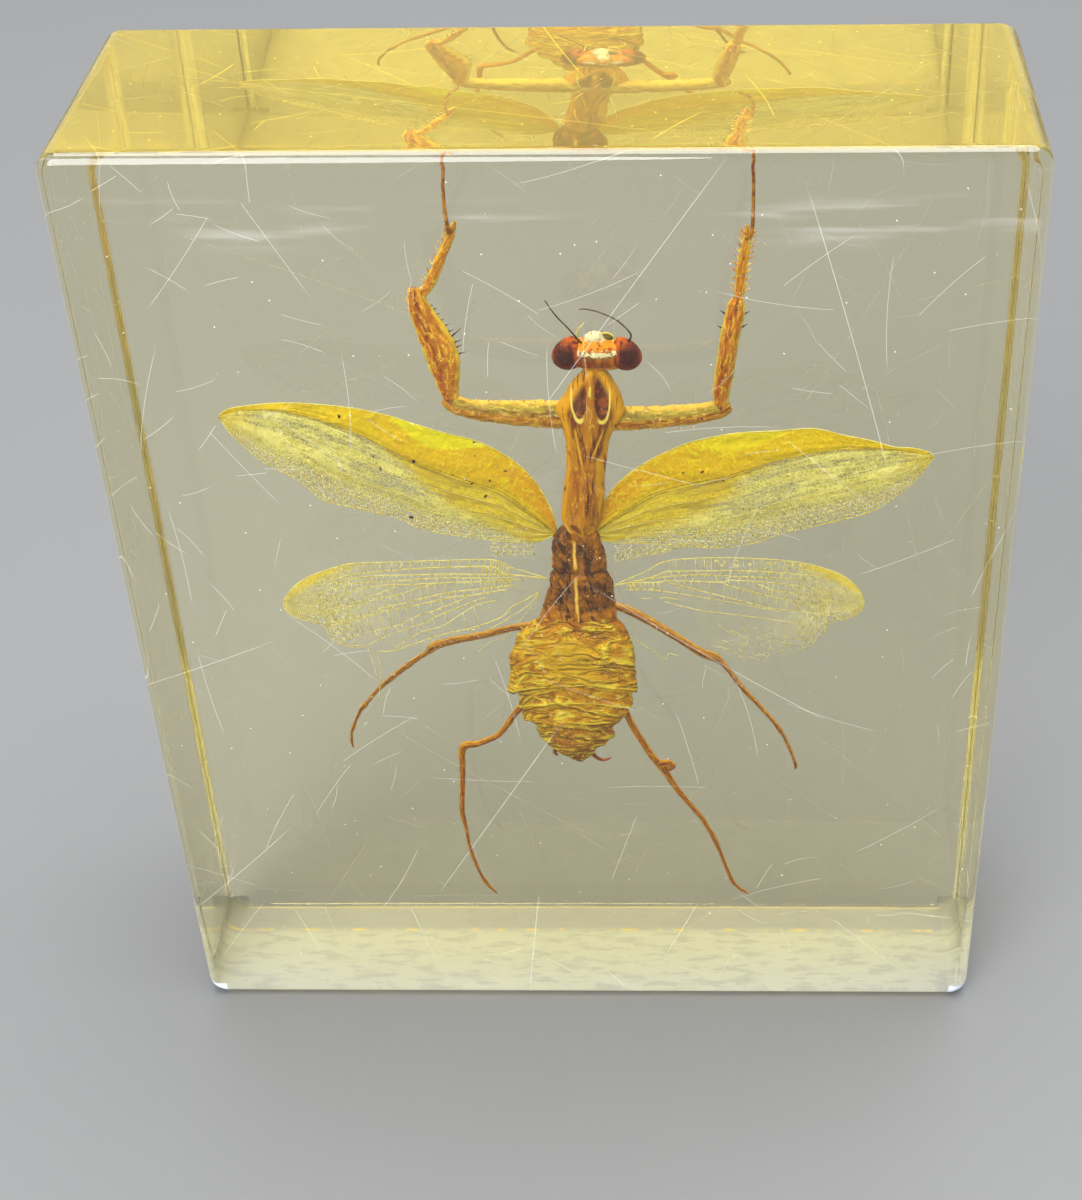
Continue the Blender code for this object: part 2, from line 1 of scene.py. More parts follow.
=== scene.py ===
"""Looks of an insect resin paperweight: an upright block of clear resin with a spread mantis inside.

The block stands on its narrow foot. X runs across it, -Y is its front and Z is up, in metres.
Outlines and sections of the insect are given in millimetres, in the same frame.
"""

import logging
from dataclasses import dataclass, field
from enum import Enum
from math import atan2, copysign, cos, exp, pi, radians, sin
from random import Random
from typing import Callable, Iterable, Sequence

import bmesh
import bpy
from mathutils import Matrix, Vector, noise

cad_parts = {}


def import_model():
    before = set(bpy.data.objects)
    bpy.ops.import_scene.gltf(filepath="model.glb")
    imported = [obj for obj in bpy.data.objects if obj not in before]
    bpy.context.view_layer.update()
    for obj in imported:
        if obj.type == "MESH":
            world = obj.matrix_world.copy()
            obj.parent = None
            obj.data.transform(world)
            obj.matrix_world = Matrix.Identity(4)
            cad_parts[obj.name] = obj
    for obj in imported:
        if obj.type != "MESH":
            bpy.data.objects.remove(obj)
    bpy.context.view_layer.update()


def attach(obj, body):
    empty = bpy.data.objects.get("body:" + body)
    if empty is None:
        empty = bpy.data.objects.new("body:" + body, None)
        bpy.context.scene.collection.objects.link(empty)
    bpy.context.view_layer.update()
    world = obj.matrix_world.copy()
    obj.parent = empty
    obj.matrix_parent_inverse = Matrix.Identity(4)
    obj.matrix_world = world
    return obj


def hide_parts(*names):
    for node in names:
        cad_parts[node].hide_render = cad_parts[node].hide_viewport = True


MM = 0.001
HEAD_LIFT = 0.5  # mm by which the head is raised after it is modelled
BLOCK_MIDDLE = Vector((0.0, 0.0, 0.06))
LOG = logging.getLogger("paperweight")

Point = tuple[float, ...]
Colour = tuple[float, float, float]
Piece = bpy.types.Object


class Slot(Enum):
    """The record's material slots."""

    RESIN = "clear_resin"
    INSECT = "dry_insect"


class Side(Enum):
    """The side of the insect as it is seen from the block's front."""

    LEFT = "left"
    RIGHT = "right"


def srgb(red: float, green: float, blue: float) -> Colour:
    """Turn a screen colour of 0 to 255 into the linear colour that shaders take."""
    def channel(level: float) -> float:
        """Decode one channel."""
        share = level / 255
        return share / 12.92 if share <= 0.04045 else ((share + 0.055) / 1.055) ** 2.4
    return channel(red), channel(green), channel(blue)


def smooth_path(points: Sequence[Point], count: int) -> list[Point]:
    """Read a smooth curve through points of any dimension.

    Args:
        points: The points that the curve passes through.
        count: How many points to read, evenly by the number of the point.

    Returns:
        The points read, the first and the last as given.
    """
    last = len(points) - 1
    read = []
    for i in range(count):
        place = i / (count - 1) * last
        k = min(int(place), last - 1)
        t = place - k
        before, start = points[max(k - 1, 0)], points[k]
        end, after = points[k + 1], points[min(k + 2, last)]
        read.append(tuple(
            0.5 * (2 * b + (c - a) * t + (2 * a - 5 * b + 4 * c - d) * t * t
                   + (3 * b - a - 3 * c + d) * t * t * t)
            for a, b, c, d in zip(before, start, end, after)))
    return read


def even_path(points: Sequence[Point], count: int) -> list[Point]:
    """Read a smooth curve at even lengths.

    Args:
        points: The points that the curve passes through.
        count: How many points to read.

    Returns:
        The points read.
    """
    dense = [Vector(point) for point in smooth_path(points, max(20 * len(points), 2 * count))]
    lengths = [0.0]
    for start, end in zip(dense, dense[1:]):
        lengths.append(lengths[-1] + (end - start).length)
    read, k = [], 0
    for i in range(count):
        goal = lengths[-1] * i / (count - 1)
        while k < len(dense) - 2 and lengths[k + 1] < goal:
            k += 1
        span = max(lengths[k + 1] - lengths[k], 1e-9)
        read.append(tuple(dense[k].lerp(dense[k + 1], min((goal - lengths[k]) / span, 1.0))))
    return read


class Value:
    """A number in a shader, on which Python's arithmetic adds Math nodes."""

    def __init__(self, graph: "Graph", socket: bpy.types.NodeSocket) -> None:
        """Wrap a socket of a graph."""
        self.graph = graph
        self.socket = socket

    def __add__(self, other: "Number") -> "Value":
        """Add."""
        return self.graph.math("ADD", self, other)

    __radd__ = __add__

    def __sub__(self, other: "Number") -> "Value":
        """Subtract."""
        return self.graph.math("SUBTRACT", self, other)

    def __rsub__(self, other: "Number") -> "Value":
        """Subtract from a number."""
        return self.graph.math("SUBTRACT", other, self)

    def __mul__(self, other: "Number") -> "Value":
        """Multiply."""
        return self.graph.math("MULTIPLY", self, other)

    __rmul__ = __mul__

    def __truediv__(self, other: "Number") -> "Value":
        """Divide."""
        return self.graph.math("DIVIDE", self, other)

    def __abs__(self) -> "Value":
        """Drop the sign."""
        return self.graph.math("ABSOLUTE", self)

    def sine(self) -> "Value":
        """Take the sine."""
        return self.graph.math("SINE", self)

    def most(self, other: "Number") -> "Value":
        """Take the larger of the two."""
        return self.graph.math("MAXIMUM", self, other)

    def least(self, other: "Number") -> "Value":
        """Take the smaller of the two."""
        return self.graph.math("MINIMUM", self, other)

    def fade(self, start: float, end: float) -> "Value":
        """Rise smoothly from 0 at start to 1 at end, which may lie below start."""
        made = self.graph.node(
            "ShaderNodeMapRange", {"interpolation_type": "SMOOTHSTEP"},
            {"Value": self, "From Min": start, "From Max": end})
        return Value(self.graph, made.outputs["Result"])


Number = Value | float
Link = bpy.types.NodeSocket | Value | tuple | float


class Graph:
    """The nodes of one material."""

    def __init__(self, name: str) -> None:
        """Start an empty material."""
        self.material = bpy.data.materials.new(name)
        self.material.use_nodes = True
        self.tree = self.material.node_tree
        self.tree.nodes.clear()
        self.output = self.node("ShaderNodeOutputMaterial")

    def node(self, kind: str, settings: dict | None = None,
             inputs: dict | None = None) -> bpy.types.Node:
        """Add a node.

        Args:
            kind: The node's type.
            settings: Its own properties, which are set first.
            inputs: Values or links of its sockets, by name or number.

        Returns:
            The node.
        """
        made = self.tree.nodes.new(kind)
        for key, value in (settings or {}).items():
            setattr(made, key, value)
        for key, value in (inputs or {}).items():
            socket = made.inputs[key]
            if isinstance(value, Value):
                value = value.socket
            if isinstance(value, bpy.types.NodeSocket):
                self.tree.links.new(value, socket)
            elif socket.type == "RGBA" and len(value) == 3:
                socket.default_value = (*value, 1.0)
            else:
                socket.default_value = value
        return made

    def math(self, operation: str, *values: Number) -> Value:
        """Add a Math node."""
        made = self.node("ShaderNodeMath", {"operation": operation}, dict(enumerate(values)))
        return Value(self, made.outputs[0])

    def vector(self, operation: str, *vectors: Link) -> bpy.types.NodeSocket:
        """Add a Vector Math node."""
        made = self.node("ShaderNodeVectorMath", {"operation": operation}, dict(enumerate(vectors)))
        return made.outputs[0]

    def split(self, vector: bpy.types.NodeSocket) -> tuple[Value, Value, Value]:
        """Take a vector or a colour apart."""
        made = self.node("ShaderNodeSeparateXYZ", None, {0: vector})
        x, y, z = (Value(self, socket) for socket in made.outputs)
        return x, y, z

    def join(self, x: Number, y: Number, z: Number) -> bpy.types.NodeSocket:
        """Put a vector together."""
        return self.node("ShaderNodeCombineXYZ", None, {0: x, 1: y, 2: z}).outputs[0]

    def place(self) -> bpy.types.NodeSocket:
        """Give the place on the piece in millimetres."""
        made = self.node("ShaderNodeTexCoord")
        return self.vector("MULTIPLY", made.outputs["Object"], (1 / MM,) * 3)

    def unwrapped(self, name: str) -> bpy.types.NodeSocket:
        """Give the place in one of the piece's UV maps."""
        return self.node("ShaderNodeUVMap", {"uv_map": name}).outputs[0]

    def attribute(self, name: str) -> Value:
        """Read a number that is stored on the piece's mesh."""
        made = self.node("ShaderNodeAttribute", {"attribute_name": name})
        return Value(self, made.outputs["Fac"])

    def noise(self, vector: bpy.types.NodeSocket, scale: float, detail: float = 3.0,
              rough: float = 0.5, warp: float = 0.0) -> Value:
        """Add a Noise texture."""
        made = self.node("ShaderNodeTexNoise", None, {
            "Vector": vector, "Scale": scale, "Detail": detail, "Roughness": rough,
            "Distortion": warp})
        return Value(self, made.outputs[0])

    def cells(self, vector: bpy.types.NodeSocket, scale: float, feature: str = "F1",
              dimensions: str = "3D") -> bpy.types.Node:
        """Add a Voronoi texture."""
        settings = {"feature": feature, "voronoi_dimensions": dimensions}
        return self.node("ShaderNodeTexVoronoi", settings, {"Vector": vector, "Scale": scale})

    def mix(self, factor: Number, first: Link, second: Link) -> bpy.types.NodeSocket:
        """Mix two colours."""
        made = self.node("ShaderNodeMix", {"data_type": "RGBA"}, {0: factor, 6: first, 7: second})
        return made.outputs[2]

    def paint(self, base: Link, *layers: tuple[Number, Link]) -> bpy.types.NodeSocket:
        """Lay colours over a base, each by its mask."""
        colour = base
        for mask, top in layers:
            colour = self.mix(mask, colour, top)
        return colour

    def principled(self, inputs: dict) -> bpy.types.NodeSocket:
        """Add a Principled shader."""
        return self.node("ShaderNodeBsdfPrincipled", None, inputs).outputs[0]

    def skin(self, colour: Link, roughness: float, height: Value | None = None,
             depth: float = 0.0, alpha: Number = 1.0) -> bpy.types.Material:
        """Finish a surface that the resin wets, so that it hardly shines.

        Args:
            colour: Its colour.
            roughness: Its roughness.
            height: Its relief, 0 to 1, if it has one.
            depth: How deep the relief is, in metres.
            alpha: How opaque it is.

        Returns:
            The material.
        """
        inputs = {"Base Color": colour, "Roughness": roughness, "Specular IOR Level": 0.2,
                  "Alpha": alpha}
        if height is not None:
            bump = {"Height": height, "Distance": depth, "Strength": 1.0}
            inputs["Normal"] = self.node("ShaderNodeBump", None, bump).outputs[0]
        return self.finish(self.principled(inputs))

    def blend(self, factor: Number, first: Link, second: Link) -> bpy.types.NodeSocket:
        """Mix two shaders."""
        return self.node("ShaderNodeMixShader", None, {0: factor, 1: first, 2: second}).outputs[0]

    def finish(self, surface: bpy.types.NodeSocket,
               volume: Link | None = None) -> bpy.types.Material:
        """Join the shader to the output and give the material."""
        self.tree.links.new(surface, self.output.inputs["Surface"])
        if volume is not None:
            self.tree.links.new(volume, self.output.inputs["Volume"])
        return self.material


@dataclass(frozen=True)
class Scratches:
    """A layer of scratches: its cells' size, half width and bend in mm, share of cells and shift."""

    cell: float
    width: float
    bend: float
    share: float
    shift: float

    def draw(self, graph: Graph, spot: bpy.types.NodeSocket) -> tuple[Value, Value]:
        """Draw one straight or curved scratch in some random cells and a speck in some others.

        Args:
            graph: The material's graph.
            spot: The place over the block's faces, in mm, with a z of zero.

        Returns:
            The masks of the scratches and of the specks.
        """
        spot = graph.vector("ADD", spot, (self.shift, self.shift * 0.7, 0.0))
        cells = graph.cells(spot, 1 / self.cell, dimensions="2D")
        turned, curve, chance = graph.split(cells.outputs["Color"])
        offset = graph.vector("SUBTRACT", spot, cells.outputs["Position"])
        offset = graph.node("ShaderNodeVectorRotate", {"rotation_type": "Z_AXIS"},
                            {"Vector": offset, "Angle": turned * (-2 * pi)}).outputs[0]
        across, along, _ = graph.split(offset)
        bend = self.bend / self.cell
        bow = graph.math("MULTIPLY_ADD", curve, bend, -bend / 2) * along
        distance = abs(graph.math("MULTIPLY_ADD", bow, along, across))
        ends = abs(along).fade(self.cell * 0.55, self.cell * 0.35)
        specks = Value(graph, cells.outputs["Distance"]).fade(0.11 / self.cell, 0.05 / self.cell)
        return (distance.fade(self.width, 0.0) * ends * chance.fade(self.share, self.share - 0.02),
                specks * chance.fade(0.66, 0.70))


@dataclass(frozen=True)
class ResinFinish:
    """Clear cast resin, slightly yellowed, scratched and dusty, with a ground foot, a painted yellow
    glow on its top face and painted caustic glints on its foot.
    """

    refraction: float = 1.54
    passed: Colour = (0.967, 0.85, 0.042)
    density: float = 12.0
    scratch_white: Colour = (0.90, 0.90, 0.86)
    ground_white: Colour = (0.72, 0.78, 0.95)
    ground_grey: Colour = (0.47, 0.51, 0.72)
    # painted light: gold of the caustic glints across the foot and of the bright line along its back
    # edge
    gold_glint: Colour = (1.0, 0.82, 0.45)
    ground_height: float = 0.25  # mm above the foot up to which the resin is ground
    ground_share: float = 0.95
    foot_corner: Point = (47.3, 2.2)  # mm, where the ground lower corners begin
    smear_height: float = 112.5  # mm, the middle of the smears across the front
    side_haze: float = 0.13
    longest: Scratches = Scratches(36.0, 0.055, 0.15, 0.9, 3.0)
    longer: Scratches = Scratches(14.0, 0.05, 0.3, 0.8, 57.0)
    short: Scratches = Scratches(5.0, 0.04, 0.6, 0.5, 11.0)
    # painted light: the share and colour of a yellow glow laid on the top face, standing in for the
    # light that comes up through the block
    top_painted_glow: float = 0.10
    top_glow: Colour = (1.0, 0.72, 0.06)

    def make(self) -> bpy.types.Material:
        """Build the material."""
        graph = Graph("clear_resin")
        place = graph.place()
        x, y, z = graph.split(place)
        spot = graph.join(x + y * 0.9, z + y * 1.1, 0.0)
        longest, _ = self.longest.draw(graph, spot)
        longer, _ = self.longer.draw(graph, spot)
        short, dust = self.short.draw(graph, spot)
        bunch = graph.noise(place, 0.035, 2.0).fade(0.44, 0.60)
        marks = longest * 0.46 + longer * 0.38 + short * (bunch * 0.34 + 0.16)
        smear = graph.noise(graph.join(x * 0.05, 0.0, z * 0.55), 1.0, 3.0).fade(0.50, 0.72)
        smear = smear * abs(z - self.smear_height).fade(3.5, 1.0) * y.fade(-15.8, -15.95) * 0.16
        corner_x, corner_z = self.foot_corner
        ground = z.fade(self.ground_height, self.ground_height * 0.4)
        ground = ground.most(abs(x).fade(corner_x, corner_x + 0.5) * z.fade(corner_z, corner_z - 0.3))
        ground = ground * self.ground_share
        # painted light: the top face is whitened in the yellow glow colour, and its scratches take the
        # same yellow; the haze also holds the side faces' haze and the smears
        top = z.fade(119.5, 119.95)
        haze = abs(x).fade(49.5, 49.95) * self.side_haze + top * self.top_painted_glow + smear
        tint = graph.mix(top, self.scratch_white, self.top_glow)
        white = graph.principled({"Base Color": tint, "Roughness": 0.7})
        cloud = graph.noise(graph.join(x * 0.22, y * 0.4, 0.0), 1.0, 4.0, rough=0.65)
        # painted light: a broken gold line of caustic glints across the foot and a bright gold line
        # along its back edge; the foot is also greyer towards the back and in cloudy patches
        glints = abs(y - 7.5).fade(0.7, 0.1) * graph.noise(graph.join(x, 0.0, 0.0), 0.3).fade(0.48, 0.60)
        foot = graph.paint(
            self.ground_white, ((y + (cloud - 0.5) * 6).fade(6.0, 9.0) * 0.8, self.ground_grey),
            (cloud.fade(0.52, 0.38) * 0.5, self.ground_grey), (glints * 0.8, self.gold_glint),
            (y.fade(15.2, 15.6) * z.fade(0.2, 0.1) * 0.8, self.gold_glint),
            (marks * 1.5, self.scratch_white))
        chalk = graph.principled({"Base Color": foot, "Roughness": 0.9})
        resin = graph.principled({
            "Base Color": (1.0, 1.0, 1.0), "Roughness": 0.0, "IOR": self.refraction,
            "Transmission Weight": 1.0})
        marked = graph.blend((marks + dust * 0.7 + haze).least(0.85), resin, white)
        volume = graph.node("ShaderNodeVolumeAbsorption", None,
                            {"Color": self.passed, "Density": self.density})
        return graph.finish(graph.blend(ground, marked, chalk), volume.outputs[0])


@dataclass(frozen=True)
class LimbFinish:
    """Amber chitin of a limb: fibres along it, painted highlights along its edges, on thin fibre lines
    and in patches, painted glints, and a long side of its own colour.
    """

    name: str
    # painted highlight colour: laid along the limb's edges, on thin lines along its fibres and in
    # patches
    edge: Colour = srgb(255, 220, 70)
    core: Colour = srgb(212, 126, 6)
    streak: Colour = srgb(140, 64, 2)
    streak_place: float = 0.15
    streak_width: float = 0.4
    # painted glints: their colour and how many there are
    glint: Colour = srgb(255, 240, 200)
    glints: float = 0.1
    side: Colour = srgb(200, 108, 4)
    side_place: float = 0.2
    side_share: float = 0.8

    def make(self) -> bpy.types.Material:
        """Build the material."""
        graph = Graph(self.name)
        place = graph.place()
        across, along, _ = graph.split(graph.unwrapped("limb"))
        across = across * 2 - 1
        ragged = across + (graph.noise(place, 0.9, 3.0) - 0.5) * 0.6
        core = abs(ragged).fade(0.92, 0.62)
        fibres = graph.noise(graph.join(across * 2.3, along * 4, 0.0), 1.0, 3.0, warp=0.5)
        dark = fibres.fade(0.49, 0.39)
        light = abs(fibres - 0.57).fade(0.035, 0.0)
        streak = abs(ragged - self.streak_place).fade(self.streak_width, self.streak_width * 0.4)
        side = ragged.fade(self.side_place, self.side_place + 0.25) * core
        mottle = graph.noise(place, 1.3, 3.0)
        # painted light: the edge colour is a highlight along the edges, fibre lines and patches, and the
        # glint colour marks painted glints
        colour = graph.paint(
            self.edge, (core * 0.92, self.core), (side * self.side_share, self.side),
            (streak * dark.most(0.35), self.streak), (dark * core * 0.4, self.streak),
            (light * 0.85, self.edge), (mottle.fade(0.60, 0.70) * 0.6, self.edge),
            (graph.noise(place, 2.6, 2.0).fade(0.74 - self.glints, 0.80) * 0.9, self.glint))
        relief = fibres * 0.6 + mottle * 0.4
        return graph.skin(colour, 0.35, relief, 0.0002)


@dataclass(frozen=True)
class PronotumFinish:
    """Amber shield with a bright rim, two dark almonds in golden crescents and a forked ridge."""

    rim: Colour = srgb(250, 184, 4)
    amber: Colour = srgb(206, 138, 6)
    rust: Colour = srgb(166, 84, 2)
    brown: Colour = srgb(92, 36, 2)
    gold: Colour = srgb(250, 196, 30)
    pale: Colour = srgb(255, 236, 120)
    almonds: tuple[Point, ...] = ((1.45, 85.3, 0.85, 2.7, -1.0), (3.95, 85.2, 0.85, 2.8, 1.0))

    def make(self) -> bpy.types.Material:
        """Build the material."""
        graph = Graph("pronotum_chitin")
        place = graph.place()
        x, _, z = graph.split(place)
        x, z = x - z * 0.0125 + 0.65, z * 0.98 + 1.36
        ragged = graph.noise(place, 1.0, 3.0) - 0.5
        streaks = graph.noise(graph.join(x * 1.6, 0.0, z * 0.24), 1.3, 3.0, warp=0.9)
        dark = streaks.fade(0.50, 0.38)
        light = abs(streaks - 0.57).fade(0.03, 0.0)
        almond, crescent = self.draw_almonds(x, z, ragged)
        zones = self.band(x, z, ragged, (0.5, 83.6), (1.75, 76.6), 0.85).most(
            self.band(x, z, ragged, (5.2, 83.6), (2.4, 77.0), 1.0))
        strokes = self.band(x, z, ragged, (0.85, 81.3), (1.55, 76.4), 0.2).most(
            self.band(x, z, ragged, (4.1, 81.2), (2.7, 77.6), 0.16))
        ridge = self.band(x, z, ragged, (2.8, 88.0), (2.75, 81.0), 0.42).most(
            self.band(x, z, ragged, (2.75, 81.5), (2.1, 76.5), 0.25))
        middle = self.band(x, z, ragged, (2.4, 76.2), (2.1, 69.4), 0.75)
        patch = self.band(x, z, ragged, (3.55, 77.4), (3.4, 72.6), 0.5)
        left = self.band(x, z, ragged, (0.9, 76.0), (0.7, 70.0), 0.55)
        reach_x, reach_z = (x - 1.45) / 2.15, (z - 69.4) / 2.7
        reach = reach_x * reach_x + reach_z * reach_z
        collar = abs(reach - 0.95).fade(0.16, 0.05) * z.fade(69.2, 68.2)
        blots = abs(reach - 0.42).fade(0.25, 0.1) * z.fade(68.9, 68.5) * ragged.fade(-0.03, 0.04)
        rim = graph.attribute("rim")
        colour = graph.paint(
            self.amber, (z.fade(80.0, 83.0) * 0.5, self.rust), (zones * 0.6, self.rust),
            (zones * dark.most(0.5), self.brown), (left * 0.6, self.rust),
            (middle * 0.5, self.rust), (middle * dark.most(0.3), self.brown),
            (dark * 0.3, self.brown), (patch * 0.8, self.gold), (light * 0.6, self.gold),
            (almond * 0.9, self.brown), (almond * ragged.fade(0.03, 0.12) * 0.75, self.rust),
            (ridge * 0.75, self.amber), (ridge * light, self.pale), (strokes * 0.8, self.gold),
            (blots * 0.8, self.brown), (rim, self.rim), (rim * streaks.fade(0.44, 0.36), self.rust),
            (collar * 0.9, self.gold), (crescent, self.pale),
            # painted glints: pale specks scattered over the shield
            (graph.noise(place, 2.4, 3.0).fade(0.68, 0.74) * 0.6, self.pale))
        relief = streaks * 0.7 + graph.noise(place, 3.0, 3.0) * 0.3
        return graph.skin(colour, 0.32, relief, 0.0002)

    @staticmethod
    def band(x: Value, z: Value, ragged: Value, top: Point, low: Point, half: float) -> Value:
        """Draw a soft stripe between two places.

        Args:
            x: The place across the piece, in mm.
            z: The height, in mm.
            ragged: An irregular value about zero.
            top: The x and z of its upper end.
            low: The x and z of its lower end.
            half: Half its width, in mm.

        Returns:
            The stripe's mask.
        """
        lean = (top[0] - low[0]) / (top[1] - low[1])
        offset = x - (z - low[1]) * lean - low[0] + ragged * half
        inside = z.fade(low[1] - 0.6, low[1] + 0.8) * z.fade(top[1] + 0.5, top[1] - 0.5)
        return abs(offset).fade(half, half * 0.45) * inside

    def draw_almonds(self, x: Value, z: Value, ragged: Value) -> tuple[Value, Value]:
        """Draw the two dark almonds and the crescents around their outer and lower edges."""
        almond, crescent = None, None
        for middle_x, middle_z, half_x, half_z, side in self.almonds:
            right, up = (x - middle_x) / half_x, (z - middle_z) / half_z
            reach = right * right + up * up + ragged * 0.4
            dark = reach.fade(1.05, 0.8)
            outer = (right * (side * 0.7) - up * 0.8).fade(0.15, 0.6)
            bright = abs(reach - 1.15).fade(0.34, 0.12) * outer
            almond = dark if almond is None else almond.most(dark)
            crescent = bright if crescent is None else crescent.most(bright)
        return almond, crescent


@dataclass(frozen=True)
class ThoraxFinish:
    """Brown thorax with a pale ridge, dark sunken muscles and orange fibres."""

    base: Colour = srgb(132, 78, 4)
    dark: Colour = srgb(56, 26, 2)
    orange: Colour = srgb(200, 130, 10)
    pale: Colour = srgb(255, 215, 110)

    def make(self) -> bpy.types.Material:
        """Build the material."""
        graph = Graph("thorax_chitin")
        place = graph.place()
        x, _, z = graph.split(place)
        relief = graph.attribute("relief")
        warp = graph.noise(place, 0.6, 3.0) - 0.5
        fibres = graph.noise(graph.join(x * 0.9 + z * 0.2, 0.0, z * 0.32), 1.3, 4.0, warp=0.8)
        muscles = abs(abs(x - 0.6 + warp) - 1.5).fade(1.1, 0.4) * fibres.fade(0.60, 0.44)
        ridge = abs(x - 0.5 + warp * 0.5).fade(0.26, 0.08)
        ridge = ridge * (z.fade(62.2, 62.8) + z.fade(61.4, 60.8)) * z.fade(66.6, 66.0)
        seam = abs(z - 61.7 + warp * 1.5).fade(0.35, 0.1)
        colour = graph.paint(
            self.base, (graph.noise(place, 0.45, 3.0).fade(0.50, 0.60) * 0.6, self.orange),
            # the relief's low places get painted shade and its high places a painted orange highlight
            (muscles * 0.85, self.dark), (relief.fade(0.48, 0.30) * 0.7, self.dark),
            (relief.fade(0.58, 0.85) * 0.6, self.orange),
            (abs(fibres - 0.5).fade(0.025, 0.0) * 0.7, self.orange),
            (abs(fibres - 0.44).fade(0.02, 0.0) * 0.8, self.dark), (seam * 0.4, self.dark),
            (ridge * 0.95, self.pale), (z.fade(56.6, 55.6) * fibres.fade(0.4, 0.5), self.orange),
            # painted glints: pale specks scattered over the thorax
            (graph.noise(place, 2.4, 3.0).fade(0.66, 0.72) * 0.7, self.pale))
        return graph.skin(colour, 0.4, fibres, 0.00025)


@dataclass(frozen=True)
class AbdomenFinish:
    """Shrivelled golden skin, crossed by folds with painted highlights on their crests and painted shade
    in their creases.
    """

    skin: Colour = srgb(236, 180, 6)
    calm: Colour = srgb(230, 190, 14)
    rust: Colour = srgb(204, 124, 2)
    # umber: the darker lower part, and painted shade in the creases, the low relief and under the
    # plate's edge
    umber: Colour = srgb(150, 84, 2)
    # painted highlight colour on the crests of the folds and the relief and on the plate's edge; also
    # the pale zigzag line and the top fringe
    light: Colour = srgb(255, 238, 80)
    dark: Colour = srgb(130, 68, 4)

    def make(self) -> bpy.types.Material:
        """Build the material."""
        graph = Graph("abdomen_skin")
        place = graph.place()
        x, y, z = graph.split(place)
        warp = graph.noise(place, 0.22, 2.0) - 0.5
        bow = z + (x + 0.6) * (x + 0.6) * 0.03 + warp * 2.6
        broad = graph.noise(graph.join(x * 0.10, y * 0.1, bow * 0.34), 1.0, 2.0, warp=0.3)
        tight = graph.noise(graph.join(x * 0.26, y * 0.2, bow * 0.62), 1.0, 2.0, warp=0.8)
        folds, pleats = (broad * 42).sine(), (tight * 22).sine()
        relief = graph.attribute("relief")
        calm = abs(x + 0.4 + warp * 4).fade(4.8, 1.2) * z.fade(43.0, 47.0) * z.fade(54.0, 49.5)
        rough = 1 - calm * 0.7
        spread = graph.noise(place, 0.28, 3.0)
        folded = spread.fade(0.42, 0.56) * rough
        plate = abs(bow - 45.2).fade(0.16, 0.04) * abs(x + 1.6).fade(0.8, 2.0)
        under = abs(bow - 44.85).fade(0.25, 0.08) * abs(x + 1.6).fade(0.8, 2.0)
        zigzag = abs(bow - 42.3 - warp * 2.0).fade(0.18, 0.06)
        colour = graph.paint(
            self.skin, (calm * 0.8, self.calm), (spread.fade(0.50, 0.38) * rough * 0.5, self.rust),
            (z.fade(50.3, 54.2) * 0.7, self.rust), (z.fade(39.6, 36.6) * 0.6, self.umber),
            (z.fade(34.4, 33.0) * 0.9, self.dark),
            # painted shade in the low relief and the creases, painted highlight on the high relief and
            # the crests
            (relief.fade(0.38, 0.12) * 0.5, self.umber),
            (folds.fade(-0.60, -1.0) * folded * 0.7, self.umber),
            (pleats.fade(-0.75, -1.0) * rough * 0.5, self.umber),
            (relief.fade(0.55, 0.95) * rough * 0.6, self.light),
            (folds.fade(0.60, 0.95) * folded * 0.8, self.light),
            (pleats.fade(0.78, 1.0) * rough * 0.8, self.light),
            ((tight * 64).sine().fade(0.80, 1.0) * rough * 0.45, self.light),
            ((tight * 64).sine().fade(-0.86, -1.0) * rough * 0.5, self.umber),
            # painted shade just under the plate's edge and a painted highlight along it; the zigzag is a
            # pale line
            (under * 0.6, self.umber), (plate * 0.9, self.light), (zigzag * 0.8, self.light),
            (z.fade(54.6, 55.4) * pleats.fade(0.2, 0.8) * 0.6, self.light),
            (graph.noise(place, 1.2, 3.0).fade(0.34, 0.29) * 0.6, self.dark))
        height = folds * 0.4 + pleats * 0.25
        return graph.skin(colour, 0.4, height, 0.0004)


